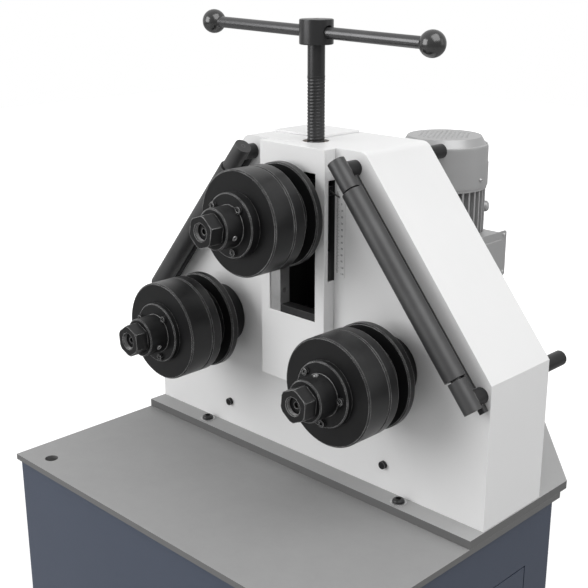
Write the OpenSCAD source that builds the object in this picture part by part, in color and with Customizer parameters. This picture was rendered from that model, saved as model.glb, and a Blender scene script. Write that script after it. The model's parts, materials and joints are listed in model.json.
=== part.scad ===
// Three-roll ring roller on a sheet-steel stand. Millimetres, Z up, front towards -Y.
// The origin is on the floor, under the middle of the housing's front plate.

/* [Stand] */

// Floor to the top of the table plate
table_height = 650; // [500:5:800]
// Thickness of the table plate
table_thickness = 10; // [6:1:16]
// Width of the table and base plates
table_width = 745; // [600:5:900]
// Front edge of the table, ahead of the front plate
table_front = 327; // [250:1:400]
// Rear edge of the table short of the base plate's
table_rear_short = 18; // [0:1:40]
// Set back of the stand's side sheets from the table's edges
stand_side_inset = 4; // [2:1:20]
// Set back of the front sheet from the table's front edge
stand_front_inset = 6; // [2:1:20]
// Set back of the rear sheet from the table's rear edge
stand_rear_inset = 16; // [4:1:40]
// Thickness of the stand's sheets
sheet_thickness = 2.5; // [1.5:0.5:4]
// Width of the folded edges of the sheets
fold_width = 18; // [12:1:18]
// Height of the foot frame
foot_height = 40; // [25:1:60]
// Wall of the foot frame's angle
foot_wall = 5; // [3:1:8]
// Width of a foot pad that takes an anchor bolt
foot_pad = 70; // [50:5:100]
// Thickness of a foot pad
foot_pad_thickness = 8; // [5:1:12]
// Bore for a floor anchor bolt
anchor_bore = 14; // [10:1:20]
// Height of the inner shelf above the floor
shelf_height = 300; // [150:10:450]
// Corner hole in the table, for lifting
table_hole = 22; // [12:1:30]
// Corner hole, from the table's side edge
table_hole_side = 58; // [30:1:90]
// Corner hole, from the table's front edge
table_hole_front = 33; // [20:1:60]

/* [Service door] */

// Rear edge of the door, behind the front plate
door_rear = 125; // [90:1:160]
// Front edge of the door, ahead of the front plate
door_front = 215; // [120:1:260]
// Top edge of the door below the table's top
door_below_table = 101; // [60:1:200]
// Bottom edge of the door above the floor
door_bottom = 110; // [70:1:200]
// Gap around the door
door_gap = 2.5; // [1.5:0.5:5]
// Depth of the door's folded edge
door_fold = 16; // [10:1:25]
// Diameter of the hinge pins
hinge_pin = 6; // [4:0.5:10]
// Outer diameter of the hinge knuckles
hinge_knuckle = 12; // [9:1:18]
// Length of one hinge knuckle
hinge_length = 26; // [18:1:40]
// Diameter of the lock's barrel
lock_barrel = 18; // [14:1:24]

/* [Base plate and housing] */

// Thickness of the base plate
base_thickness = 14; // [10:1:25]
// Front strip of the base plate, ahead of the front plate
base_front = 34; // [25:1:50]
// Rear strip of the base plate, behind the housing
base_behind = 80; // [40:1:150]
// Tapered tail of the base plate, behind that strip
base_tail = 172; // [100:1:220]
// Narrowing of the tail on each side
base_tail_inset = 147.5; // [80:0.5:220]
// Place of the base bolts, either side of the middle
base_bolt_side = 225; // [150:1:300]
// Shank of a base bolt
base_bolt = 12; // [8:1:16]
// Head of a base bolt
base_bolt_head = 20; // [14:1:26]
// Set back of the housing's sides from the plates' edges
housing_side_inset = 1.5; // [0.5:0.5:10]
// Height at which the sides begin to lean in
shoulder_height = 230; // [150:1:300]
// Width of the housing at its top
housing_top_width = 257; // [180:1:340]
// Height of the housing above the base plate
housing_height = 530.5; // [420:0.5:640]
// Depth of the housing
housing_depth = 150; // [110:1:200]
// Thickness of the front plate
front_plate_thickness = 18; // [12:1:30]
// Thickness of the rear plate
rear_plate_thickness = 15; // [10:1:25]
// Thickness of the wrap that joins the plates
wrap_thickness = 6; // [4:0.5:12]
// Diameter of the plugs in the front plate
plug_diameter = 13; // [8:1:16]
// Distance of the plugs from the middle
plug_distance = 180; // [140:1:260]
// Height of the plugs above the base plate
plug_height = 43; // [20:1:80]

/* [Slide box] */

// Width of the box that covers the slide
box_width = 142; // [110:1:180]
// Depth of the box ahead of the front plate
box_depth = 24; // [16:1:40]
// Bottom of the box above the base plate
box_bottom = 136.5; // [90:0.5:200]
// Thickness of the box's sheet
box_sheet = 3; // [2:0.5:5]
// Width of the window
window_width = 102; // [80:1:120]
// Bottom of the window above the lower rolls' axes
window_above_axes = 44; // [30:1:90]
// Top of the window below the top of the housing
window_below_top = 39; // [25:0.5:60]
// Width of the pointer's slot
slot_width = 15; // [8:1:20]
// Height of the pointer's slot
slot_height = 159; // [140:1:180]
// Top of the pointer's slot below the top of the housing
slot_below_top = 48.5; // [40:0.5:70]

/* [Slide and screw] */

// Top roll's axis below the top of the housing, fully up
top_axis_below_top = 105.5; // [90:0.5:150]
// Travel of the slide
slide_travel = 120; // [60:1:130]
// Clear width between the front keepers
keeper_gap = 58; // [50:1:70]
// Thickness of the front keepers
keeper_thickness = 21; // [12:1:24]
// Width of the slide block
slide_width = 116; // [90:1:130]
// Depth of the slide block
slide_depth = 72; // [50:1:90]
// Slide block above the top roll's axis
slide_above = 50; // [42:1:70]
// Slide block below the top roll's axis
slide_below = 58; // [45:1:60]
// Running gap around the slide block
slide_gap = 0.08; // [0.03:0.01:0.2]
// Width of one slide guide
guide_width = 12; // [8:1:30]
// Distance of the screw's axis behind the front plate
screw_behind = 31; // [20:1:60]
// Diameter of the press screw
screw_diameter = 28; // [20:1:36]
// Bottom of the T head above the housing, fully up
head_above_housing = 147.5; // [130:0.5:200]
// Height of the T head
head_height = 38; // [30:1:50]
// Diameter of the T head
head_diameter = 53; // [40:1:60]
// Diameter of the tommy bar
bar_diameter = 18; // [12:0.5:22]
// Length of the tommy bar between its ball centres
bar_length = 458; // [300:2:600]
// Lean of the tommy bar in its loose hole, in degrees
bar_lean = 1.9; // [0:0.1:3]
// Offset of the bar from its middle, towards the left
bar_offset = 7; // [0:1:20]
// Diameter of the ball knobs
ball_diameter = 39; // [28:1:50]

/* [Rolls] */

// Diameter of the rolls
roll_diameter = 164.6; // [120:0.1:200]
// Room between the gears and the wrap at the housing's sides
gear_side_room = 46.5; // [5:0.5:60]
// Height of the lower rolls' axes above the base plate
lower_axis_height = 210; // [170:1:260]
// Rear discs of the lower rolls, ahead of the front plate
lower_disc_distance = 43; // [42:0.5:60]
// Rear disc of the top roll, ahead of the front plate
top_disc_distance = 38; // [30:0.5:60]
// Width of a rear disc
disc_width = 14; // [10:0.5:20]
// Width of the groove ahead of a rear disc
groove_width = 23; // [15:0.5:30]
// Width of a lower second ring
lower_second_width = 20; // [12:0.5:30]
// Width of the top second ring
top_second_width = 23.5; // [12:0.5:30]
// Width of a lower front ring
lower_ring_width = 44; // [30:0.5:60]
// Width of the top front ring
top_ring_width = 40; // [30:0.5:60]
// Thickness of a lower hub's flange
lower_flange_width = 10; // [6:0.5:20]
// Thickness of the top hub's flange
top_flange_width = 16.5; // [6:0.5:20]
// Length of a lower hub's sleeve
lower_sleeve_length = 35; // [20:0.5:50]
// Length of the top hub's sleeve
top_sleeve_length = 32.5; // [20:0.5:50]
// Length of a lower shaft nut
lower_nut_length = 23; // [15:0.5:30]
// Length of the top shaft nut
top_nut_length = 23.5; // [15:0.5:30]
// Diameter of the roll seat on a shaft
seat_diameter = 44; // [36:1:50]
// Diameter of the thread at a shaft's front end
thread_diameter = 30; // [24:1:36]
// Width across the flats of a shaft nut
nut_flats = 46; // [36:1:55]
// Diameter of a hub's sleeve
sleeve_diameter = 63.5; // [50:0.5:80]
// Diameter of a hub's flange
flange_diameter = 100; // [80:1:130]
// Diameter at the bottom of the groove before the rear disc
groove_diameter = 122; // [80:1:140]
// Edge break of the rolls
roll_chamfer = 2; // [1:0.25:4]
// Diameter of the front bearing housings' flanges
bearing_flange = 104; // [96:1:170]
// Thickness of the front bearing housings' flanges
bearing_flange_thickness = 28; // [15:1:35]

/* [Side guide bars] */

// Diameter of the guide studs
stud_diameter = 25; // [16:1:32]
// Distance of the lower studs' axes inside the leaning edge
stud_inside = 24.5; // [18:0.5:40]
// Distance of the upper studs' axes inside the leaning edge
stud_upper_inside = 29.4; // [18:0.1:40]
// Distance of the upper stud below the upper corner, along the edge
stud_upper_along = 8.6; // [5:0.1:60]
// Distance of the lower stud below the shoulder corner, along the edge
stud_past_shoulder = 3.4; // [-60:0.1:8]
// Studs behind the housing
stud_rear = 62; // [40:1:100]
// Distance of the guide bars' axes ahead of the front plate
guide_bar_ahead = 32; // [28:1:50]
// Diameter of the thin rod behind a guide bar
back_rod_diameter = 14; // [8:0.5:16]
// Thin rod past the axis of the lower stud
back_rod_past = 24; // [16:1:40]
// Diameter of the end blocks
end_block_diameter = 28; // [22:1:40]
// Length of an end block
end_block_length = 49; // [35:1:60]
// End block past the axis of its stud
end_block_past = 16.5; // [14:0.5:25]
// Diameter of the turning sleeve
guide_sleeve_diameter = 33.5; // [28:0.5:45]
// Diameter of the inner rod
guide_rod_diameter = 16; // [12:1:22]
// Gap between an end block and the sleeve
guide_end_gap = 3; // [1:0.5:6]

/* [Drive] */

// Front face of the gears behind the front plate
gear_front = 94; // [90:1:98]
// Width of the gears
gear_width = 28; // [20:1:32]
// Distance between the worm and its wheel
worm_distance = 63; // [60:1:70]
// Worm's axis behind the front plate
worm_behind = 281; // [270:1:310]
// Radius of the motor's fan cover
motor_radius = 76; // [60:0.5:90]
// Foot of the motor above the lower rolls' axes
motor_foot_rise = 64; // [64:1:100]
// Height of the finned body, from its foot to the fan cover
motor_body_height = 163; // [120:1:200]
// Height of the fan cover
motor_cover_height = 82; // [60:1:110]
// Height of the terminal box
terminal_height = 80; // [60:1:100]
// Width of the terminal box
terminal_width = 84; // [60:1:100]
// Lid of the terminal box beyond the motor's axis
terminal_reach = 106; // [95:1:130]

/* [Hidden] */

$fn = 48;
smooth_steps = 96;
hex_sides = 6;
sides = [-1, 1];
right_angle = 90;
half_turn = 180;
full_turn = 360;

overrun = 1;
running_gap = 0.05;
loose_gap = 0.5;
pinion_teeth = 36;
gear_teeth = 72;
door_top = table_height - door_below_table;
base_rear = housing_depth + base_behind;
table_rear = base_rear - table_rear_short;
housing_width = table_width - 2 * housing_side_inset;
window_top = housing_height - window_below_top;
window_bottom = lower_axis_height + window_above_axes;
slot_top = housing_height - slot_below_top;
slot_bottom = slot_top - slot_height;
top_axis_height = housing_height - top_axis_below_top;
head_bottom = housing_height + head_above_housing;
// The gears mesh across the middle, so the axes stand half of both pitch circles apart
lower_axis_side = (housing_width / 2 - wrap_thickness - gear_side_room)
    * (pinion_teeth + gear_teeth) / (pinion_teeth + 2 * gear_teeth + 2);
gear_module = 2 * lower_axis_side / (pinion_teeth + gear_teeth);
motor_foot = lower_axis_height + motor_foot_rise;
motor_cover_bottom = motor_foot + motor_body_height;
motor_top = motor_cover_bottom + motor_cover_height;

steel = [0.2, 0.2, 0.21];
bright = [0.62, 0.62, 0.63];
white_paint = [0.92, 0.92, 0.91];
plate_paint = [0.58, 0.58, 0.58];
stand_paint = [0.34, 0.37, 0.43];
motor_paint = [0.66, 0.67, 0.68];
ball_black = [0.05, 0.05, 0.05];
bronze = [0.7, 0.52, 0.3];

base_top = table_height + base_thickness;
table_bottom = table_height - table_thickness;
stand_half = table_width / 2 - stand_side_inset;
stand_front = -table_front + stand_front_inset;
stand_back = table_rear - stand_rear_inset;
inner_half = stand_half - sheet_thickness;
inner_front = stand_front + sheet_thickness;
inner_back = stand_back - sheet_thickness;
anchor_x = inner_half - foot_pad / 2;
anchor_front_y = inner_front + foot_pad / 2;
anchor_rear_y = inner_back - foot_pad / 2;

// The leaning edge of the housing, worked out once for both sides
lean_rise = housing_height - shoulder_height;
lean_run = (housing_width - housing_top_width) / 2;
lean_length = sqrt(lean_rise * lean_rise + lean_run * lean_run);
lean_down = lean_rise / lean_length;
lean_out = lean_run / lean_length;
lean_tilt = atan2(lean_run, lean_rise);
rear_plate_front = housing_depth - rear_plate_thickness;

// A point beside the leaning edge, by the way down along it and the way in from it
function beside_edge(along, inside) = [
    housing_top_width / 2 + along * lean_out - inside * lean_down,
    base_top + housing_height - along * lean_down - inside * lean_out
];

stud_points = [
    beside_edge(stud_upper_along, stud_upper_inside),
    beside_edge(lean_length + stud_past_shoulder, stud_inside)
];
guide_middle = (stud_points[0] + stud_points[1]) / 2;
guide_way = stud_points[1] - stud_points[0];
guide_tilt = atan2(guide_way[0], -guide_way[1]);
stud_span = norm(guide_way);
guide_sleeve_length = stud_span - 2 * (end_block_length - end_block_past) - 2 * guide_end_gap;
guide_y = -guide_bar_ahead;

lower_z = base_top + lower_axis_height;
top_z = base_top + top_axis_height;
roof = base_top + housing_height - wrap_thickness;
roof_top = base_top + housing_height;

keeper_front = -box_depth + box_sheet;
keeper_rear = keeper_front + keeper_thickness;
slide_front = keeper_rear + slide_gap;
slide_rear = slide_front + slide_depth;
guide_inner = slide_width / 2 + slide_gap;
guide_outer = guide_inner + guide_width;
channel_below = 18;
channel_bottom = window_bottom - channel_below;
guide_lip = 12;
guide_lip_reach = 16;
cross_bar_height = 30;
nut_block_height = 38;
nut_flange = 41;
nut_flange_thickness = 5;
nut_outer = 38;
screw_hole = 42;
pointer_seat = 5;
notch_gap = 2;
notch_inner = slide_width / 2 - pointer_seat - notch_gap;

module copy_sides() {
    for (side = sides)
        scale([side, 1, 1])
            children();
}

module block(from, to) {
    translate(from)
        cube(to - from);
}

module rod_y(x, z, from_y, to_y, diameter, steps = $fn) {
    translate([x, from_y, z])
        rotate([-right_angle, 0, 0])
            cylinder(d = diameter, h = to_y - from_y, $fn = steps);
}

module rod_z(x, y, from_z, to_z, diameter, steps = $fn) {
    translate([x, y, from_z])
        cylinder(d = diameter, h = to_z - from_z, $fn = steps);
}

module rod_x(y, z, from_x, to_x, diameter) {
    translate([from_x, y, z])
        rotate([0, right_angle, 0])
            cylinder(d = diameter, h = to_x - from_x);
}

// A turned ring along Y with both outer edges broken
module turned_ring(x, z, from_y, to_y, outer, inner, chamfer) {
    width = to_y - from_y;
    translate([x, from_y, z])
        rotate([-right_angle, 0, 0])
            rotate_extrude($fn = smooth_steps)
                polygon([
                    [inner / 2, 0],
                    [outer / 2 - chamfer, 0],
                    [outer / 2, chamfer],
                    [outer / 2, width - chamfer],
                    [outer / 2 - chamfer, width],
                    [inner / 2, width]
                ]);
}

// A plate that stands in the XZ plane, drawn from the front with its foot on the base plate
module upright(from_y, to_y) {
    translate([0, to_y, base_top])
        rotate([right_angle, 0, 0])
            linear_extrude(to_y - from_y)
                children();
}

bend_radius = 20;
bend_steps = 8;
bend_turn = right_angle - lean_tilt;
bend_x = housing_top_width / 2 - bend_radius * tan(bend_turn / 2);

// The two top corners are bent, here as arcs from the right edge to the left one
function bends(radius) = [
    for (side = [1, -1], step = [0 : bend_steps])
        let (turn = bend_turn * (side > 0 ? bend_steps - step : step) / bend_steps)
            [side * (bend_x + radius * sin(turn)), housing_height - bend_radius + radius * cos(turn)]
];

module housing_outline() {
    polygon(concat(
        [[-housing_width / 2, 0], [housing_width / 2, 0], [housing_width / 2, shoulder_height]],
        bends(bend_radius),
        [[-housing_width / 2, shoulder_height]]
    ));
}

// The room inside the wrap, open at the foot
module housing_room() {
    side_x = housing_width / 2 - wrap_thickness;
    side_y = housing_height - (wrap_thickness + (side_x - housing_top_width / 2) * lean_down) / lean_out;
    polygon(concat(
        [[-side_x, -overrun], [side_x, -overrun], [side_x, side_y]],
        bends(bend_radius - wrap_thickness),
        [[-side_x, side_y]]
    ));
}

foot_cross = 50;

module foot_frame() {
    frame_inner = inner_half - foot_wall;
    color(stand_paint) {
        difference() {
            block([-inner_half, inner_front, 0], [inner_half, inner_back, foot_height]);
            block([-frame_inner, inner_front + foot_wall, -overrun],
                  [frame_inner, inner_back - foot_wall, foot_height + overrun]);
        }
        for (part = [[-foot_wall / 2, foot_wall / 2, foot_height], [-foot_cross / 2, foot_cross / 2, foot_wall]])
            block([-inner_half, part[0], 0], [inner_half, part[1], part[2]]);
        for (x = [-anchor_x, anchor_x])
            for (y = [anchor_front_y, anchor_rear_y])
                difference() {
                    block([x - foot_pad / 2, y - foot_pad / 2, 0],
                          [x + foot_pad / 2, y + foot_pad / 2, foot_pad_thickness]);
                    rod_z(x, y, -overrun, foot_pad_thickness + overrun, anchor_bore);
                }
    }
}

// A sheet across the stand, with folds at its top and bottom that turn inwards
module cross_sheet(face_from, face_to, fold_from, fold_to) {
    block([-stand_half, face_from, foot_height], [stand_half, face_to, table_bottom]);
    for (z = [foot_height, table_bottom - sheet_thickness])
        block([-inner_half, fold_from, z], [inner_half, fold_to, z + sheet_thickness]);
}

module front_panel() {
    color(stand_paint)
        cross_sheet(stand_front, inner_front, stand_front, stand_front + fold_width);
}

module rear_panel() {
    slot_height = vent_slot;
    color(stand_paint)
        difference() {
            cross_sheet(inner_back, stand_back, stand_back - fold_width, stand_back);
            for (row = [0 : vent_rows - 1])
                for (side = sides)
                    translate([side * vent_side, 0, vent_bottom + row * vent_pitch])
                        block([-vent_width / 2, inner_back - overrun, 0],
                              [vent_width / 2, stand_back + overrun, slot_height]);
        }
}

vent_rows = 6;
vent_slot = 6;
vent_pitch = 18;
vent_width = 110;
vent_side = 190;
vent_bottom = 440;

module side_sheet() {
    block([inner_half, inner_front, foot_height], [stand_half, inner_back, table_bottom]);
    for (z = [foot_height, table_bottom - sheet_thickness])
        block([stand_half - fold_width, stand_front + fold_width, z],
              [inner_half, stand_back - fold_width, z + sheet_thickness]);
}

module left_panel() {
    color(stand_paint)
        scale([-1, 1, 1])
            side_sheet();
}

module door_space(grow, from_x, to_x) {
    block([from_x, -door_front - grow, door_bottom - grow], [to_x, door_rear + grow, door_top + grow]);
}

module right_panel() {
    color(stand_paint) {
        difference() {
            side_sheet();
            door_space(door_gap, inner_half - overrun, stand_half + overrun);
        }
        difference() {
            door_space(door_gap + sheet_thickness, stand_half - door_fold, inner_half);
            door_space(door_gap, stand_half - door_fold - overrun, stand_half + overrun);
        }
        for (z = hinge_heights)
            hinge_on_panel(z);
    }
}

hinge_heights = [
    door_bottom + 2 * hinge_length,
    door_top - 2 * hinge_length
];
hinge_x = stand_half + hinge_knuckle / 2;
hinge_y = -door_front - door_gap / 2;
hinge_leaf = 18;
hinge_leaf_thickness = 2;
knuckle_gap = 0.4;

// The pin with the panel's two knuckles and their leaves
module hinge_on_panel(middle) {
    rod_z(hinge_x, hinge_y, middle - hinge_length * 3 / 2, middle + hinge_length * 3 / 2, hinge_pin);
    for (step = sides) {
        bottom = middle + step * hinge_length - hinge_length / 2;
        rod_z(hinge_x, hinge_y, bottom + knuckle_gap, bottom + hinge_length - knuckle_gap, hinge_knuckle);
        block([stand_half, hinge_y - hinge_leaf, bottom + knuckle_gap],
              [stand_half + hinge_leaf_thickness, hinge_y, bottom + hinge_length - knuckle_gap]);
    }
}

module door() {
    color(stand_paint) {
        difference() {
            door_space(0, stand_half - door_fold, stand_half);
            door_space(-sheet_thickness, stand_half - door_fold - overrun, inner_half);
            rod_x(lock_y, lock_z, inner_half - overrun, stand_half + overrun, lock_barrel + 2 * running_gap);
        }
        for (z = hinge_heights) {
            difference() {
                union() {
                    rod_z(hinge_x, hinge_y, z - hinge_length / 2 + knuckle_gap,
                          z + hinge_length / 2 - knuckle_gap, hinge_knuckle);
                    block([stand_half, hinge_y, z - hinge_length / 2 + knuckle_gap],
                          [stand_half + hinge_leaf_thickness, hinge_y + hinge_leaf,
                           z + hinge_length / 2 - knuckle_gap]);
                }
                rod_z(hinge_x, hinge_y, z - hinge_length, z + hinge_length, hinge_pin + 2 * running_gap);
            }
        }
    }
}

lock_inset = 26;
lock_y = door_rear - lock_inset;
lock_z = (door_top + door_bottom) / 2;
lock_head = 26;
lock_head_thickness = 4;
lock_cam_thickness = 3;
lock_cam_width = 16;
lock_cam_past = 14;
lock_slot_width = 3;

module door_lock() {
    cam_x = stand_half - door_fold - loose_gap;
    color(bright) {
        difference() {
            union() {
                rod_x(lock_y, lock_z, cam_x, stand_half + loose_gap, lock_barrel);
                rod_x(lock_y, lock_z, stand_half + loose_gap / 2, stand_half + lock_head_thickness, lock_head);
            }
            block([stand_half + lock_head_thickness / 2, lock_y - lock_barrel / 2, lock_z - lock_slot_width / 2],
                  [stand_half + lock_head_thickness + overrun, lock_y + lock_barrel / 2,
                   lock_z + lock_slot_width / 2]);
        }
        block([cam_x - lock_cam_thickness, lock_y - lock_cam_width / 2, lock_z - lock_inset - lock_cam_past],
              [cam_x, lock_y + lock_cam_width / 2, lock_z + lock_cam_width / 2]);
    }
}

module inner_shelf() {
    shelf_fold = fold_width;
    color(stand_paint)
        difference() {
            block([-inner_half, inner_front, shelf_height - shelf_fold], [inner_half, inner_back, shelf_height]);
            block([-inner_half - overrun, inner_front + sheet_thickness, shelf_height - shelf_fold - overrun],
                  [inner_half - door_fold - loose_gap, inner_back - sheet_thickness,
                   shelf_height - sheet_thickness]);
            block([inner_half - door_fold - 2 * loose_gap, inner_front + sheet_thickness,
                   shelf_height - shelf_fold - overrun],
                  [inner_half + overrun, inner_back - sheet_thickness, shelf_height + overrun]);
        }
}

base_bolt_front = -base_front / 2;
bolt_washer = 26;
bolt_stand_off = 2;
base_bolt_rear = housing_depth + bolt_washer / 2 + bolt_stand_off;
base_bolt_points = [
    [-base_bolt_side, base_bolt_front],
    [base_bolt_side, base_bolt_front],
    [-base_bolt_side, base_bolt_rear],
    [base_bolt_side, base_bolt_rear]
];
bolt_washer_thickness = 1.5;
bolt_head_height = 5.5;
bolt_socket = 10;
bolt_socket_depth = 3.5;
bolt_nut_flats = 19;
bolt_nut_height = 10;

module bolt_holes(from_z, to_z) {
    for (point = base_bolt_points)
        rod_z(point[0], point[1], from_z - overrun, to_z + overrun, base_bolt);
}

module table_plate() {
    color(plate_paint)
        difference() {
            block([-table_width / 2, -table_front, table_bottom], [table_width / 2, table_rear, table_height]);
            bolt_holes(table_bottom, table_height);
            for (side = sides)
                rod_z(side * (table_width / 2 - table_hole_side), table_hole_front - table_front,
                      table_bottom - overrun, table_height + overrun, table_hole);
        }
}

// The base plate narrows behind the housing to a tail under the motor
module base_outline() {
    tail_half = table_width / 2 - base_tail_inset;
    polygon([
        [-table_width / 2, -base_front],
        [table_width / 2, -base_front],
        [table_width / 2, base_rear],
        [tail_half, base_rear + base_tail],
        [-tail_half, base_rear + base_tail],
        [-table_width / 2, base_rear]
    ]);
}

module base_plate() {
    color(plate_paint)
        difference() {
            translate([0, 0, table_height])
                linear_extrude(base_thickness)
                    base_outline();
            bolt_holes(table_height, base_top);
        }
}

module base_bolts() {
    washer_top = base_top + bolt_washer_thickness;
    head_top = washer_top + bolt_head_height;
    color(steel)
        for (point = base_bolt_points)
            translate([point[0], point[1], 0]) {
                difference() {
                    union() {
                        rod_z(0, 0, base_top, washer_top, bolt_washer);
                        rod_z(0, 0, washer_top, head_top, base_bolt_head);
                        rod_z(0, 0, table_bottom - bolt_nut_height, base_top, base_bolt);
                    }
                    rod_z(0, 0, head_top - bolt_socket_depth, head_top + overrun, bolt_socket, hex_sides);
                }
                rod_z(0, 0, table_bottom - bolt_nut_height, table_bottom,
                      bolt_nut_flats / cos(half_turn / hex_sides), hex_sides);
            }
}

channel_side = guide_outer;
bearing_tube = 90;
bearing_tube_rear = 62;
rear_bearing_plug = 86;
rear_bearing_flange = 112;
rear_bearing_thickness = 14;
journal = 50;
output_hole = 70;
pinion_boss = 54;
pinion_boss_rear = 40;
output_journal = 40;

module front_plate() {
    color(white_paint)
        difference() {
            union() {
                upright(0, front_plate_thickness)
                    housing_outline();
                rod_y(0, lower_z, front_plate_thickness, pinion_boss_rear, pinion_boss);
            }
            block([-channel_side, -overrun, base_top + channel_bottom],
                  [channel_side, front_plate_thickness + overrun, roof]);
            screw_opening();
            rod_y(0, lower_z, front_plate_thickness / 2, pinion_boss_rear + overrun,
                  output_journal + 2 * running_gap);
            for (side = sides) {
                rod_y(side * lower_axis_side, lower_z, -overrun, front_plate_thickness + overrun, bearing_tube);
                rod_y(side * plug_distance, base_top + plug_height, -overrun, front_plate_thickness + overrun,
                      plug_diameter);
                for (point = stud_points)
                    rod_y(side * point[0], point[1], -overrun, front_plate_thickness + overrun, stud_diameter);
            }
        }
}

module screw_opening() {
    rod_z(0, screw_behind, roof - overrun, roof_top + overrun, screw_hole);
}

module housing_wrap() {
    color(white_paint)
        difference() {
            upright(front_plate_thickness, rear_plate_front)
                difference() {
                    housing_outline();
                    housing_room();
                }
            block([-housing_width, front_plate_thickness - overrun, base_top - table_height],
                  [housing_width, rear_plate_front + overrun, base_top]);
            screw_opening();
            // A lower stud runs just inside the wrap, which is hollowed for it
            for (side = sides)
                for (point = stud_points)
                    rod_y(side * point[0], point[1], front_plate_thickness - overrun, rear_plate_front + overrun,
                          stud_diameter + 2 * stud_gap);
        }
}

module rear_plate() {
    color(white_paint)
        difference() {
            upright(rear_plate_front, housing_depth)
                housing_outline();
            rod_y(0, lower_z, rear_plate_front - overrun, housing_depth + overrun, output_hole);
            for (side = sides) {
                rod_y(side * lower_axis_side, lower_z, rear_plate_front - overrun, housing_depth + overrun,
                      rear_bearing_plug);
                for (point = stud_points)
                    rod_y(side * point[0], point[1], rear_plate_front - overrun, housing_depth + overrun,
                          stud_diameter);
            }
        }
}

cover_thickness = 3.5;
cover_edge = 3;
cover_right = -8;
cover_corner = 7;

// The thin raised cover behind and left of the screw
module top_cover() {
    left = -bend_x;
    rear = housing_depth - cover_edge;
    front = screw_behind + screw_hole / 2 + cover_edge;
    color(white_paint) {
        block([left, front, roof_top], [cover_right, rear - cover_corner, roof_top + cover_thickness]);
        block([left, rear - cover_corner, roof_top],
              [cover_right - cover_corner, rear, roof_top + cover_thickness]);
        rod_z(cover_right - cover_corner, rear - cover_corner, roof_top, roof_top + cover_thickness,
              2 * cover_corner);
    }
}

module plate_plugs() {
    color(steel)
        for (side = sides) {
            rod_y(side * plug_distance, base_top + plug_height, -plug_proud, front_plate_thickness, plug_diameter);
        }
}

plug_proud = 6;

// The folded box in front of the slide, with its window and the pointer's slot
module slide_box() {
    box_half = box_width / 2;
    box_inner = box_half - box_sheet;
    color(white_paint)
        difference() {
            block([-box_half, -box_depth, base_top + box_bottom], [box_half, 0, roof_top]);
            block([-box_inner, -box_depth + box_sheet, base_top + box_bottom + box_sheet],
                  [box_inner, overrun, roof]);
            block([-window_width / 2, -box_depth - overrun, base_top + window_bottom],
                  [window_width / 2, 0, base_top + window_top]);
            block([box_inner - overrun, -slot_width, base_top + slot_bottom],
                  [box_half + overrun, overrun, base_top + slot_top]);
        }
}

keeper_side = 2;
keeper_hole = 9;
keeper_hole_depth = 12;
keeper_hole_above = 33;
keeper_hole_share = 0.52;
keeper_clear = 1;
keeper_outer = box_width / 2 - box_sheet - keeper_side;
right_keeper_inner = window_width / 2 + keeper_clear;

module keeper(inner) {
    block([inner, keeper_front, base_top + channel_bottom], [keeper_outer, keeper_rear, roof]);
}

// The left keeper shows in the window and has a tapped hole in its side, the right one is cut where the pointer runs
module keepers() {
    color(bright) {
        difference() {
            scale([-1, 1, 1])
                keeper(keeper_gap / 2);
            rod_x(keeper_front + keeper_thickness * keeper_hole_share, base_top + window_bottom + keeper_hole_above,
                  -keeper_gap / 2 - keeper_hole_depth, -keeper_gap / 2 + overrun, keeper_hole);
        }
        difference() {
            keeper(right_keeper_inner);
            block([notch_inner, slide_front - pointer_reach - notch_gap,
                   base_top + slot_bottom - pointer_root / 2],
                  [keeper_outer + overrun, keeper_rear + overrun, base_top + slot_top + pointer_root / 2]);
        }
    }
}

module cross_bar() {
    color(bright)
        block([-keeper_gap / 2, keeper_front, base_top + channel_bottom],
              [right_keeper_inner, keeper_rear, base_top + channel_bottom + cross_bar_height]);
}

// The two guides beside the slide, each with a lip behind it
module slide_guides() {
    guide_top = roof - nut_block_height;
    color(bright)
        copy_sides() {
            block([guide_inner, keeper_rear, base_top + channel_bottom], [guide_outer, slide_rear, guide_top]);
            block([guide_inner - guide_lip_reach, slide_rear + slide_gap, base_top + channel_bottom],
                  [guide_outer, slide_rear + slide_gap + guide_lip, guide_top]);
            block([guide_inner, slide_rear - overrun, base_top + channel_bottom],
                  [guide_outer, slide_rear + slide_gap + overrun, guide_top]);
        }
}

module nut_block() {
    color(steel)
        difference() {
            block([-guide_outer, keeper_rear, roof - nut_block_height],
                  [guide_outer, slide_rear + slide_gap + guide_lip, roof]);
            rod_z(0, screw_behind, roof - nut_block_height - overrun, roof + overrun, nut_outer);
            rod_z(0, screw_behind, roof - nut_flange_thickness, roof + overrun, nut_flange);
        }
}

module screw_nut() {
    color(bronze)
        difference() {
            union() {
                rod_z(0, screw_behind, roof - nut_block_height, roof, nut_outer);
                rod_z(0, screw_behind, roof - nut_flange_thickness, roof, nut_flange);
            }
            rod_z(0, screw_behind, roof - nut_block_height - overrun, roof + overrun,
                  screw_diameter + 2 * running_gap);
        }
}

scale_left = 73;
scale_width = 19;
scale_thickness = 1;
scale_over = 8;

module scale_plate() {
    color(white_paint)
        block([scale_left, -scale_thickness, base_top + slot_bottom + scale_over],
              [scale_left + scale_width, 0, base_top + slot_top - scale_over]);
}

slide_bore = 72;
thrust_collar = 44;
thrust_collar_height = 10;
thrust_cap_height = 9;
thrust_cap_width = 76;
thrust_cap_depth = 52;
thrust_pin = 20;
slide_top = top_z + slide_above;
collar_bottom = slide_top - thrust_collar_height;

bearing_width = 20;
journal_top = 48;

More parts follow.
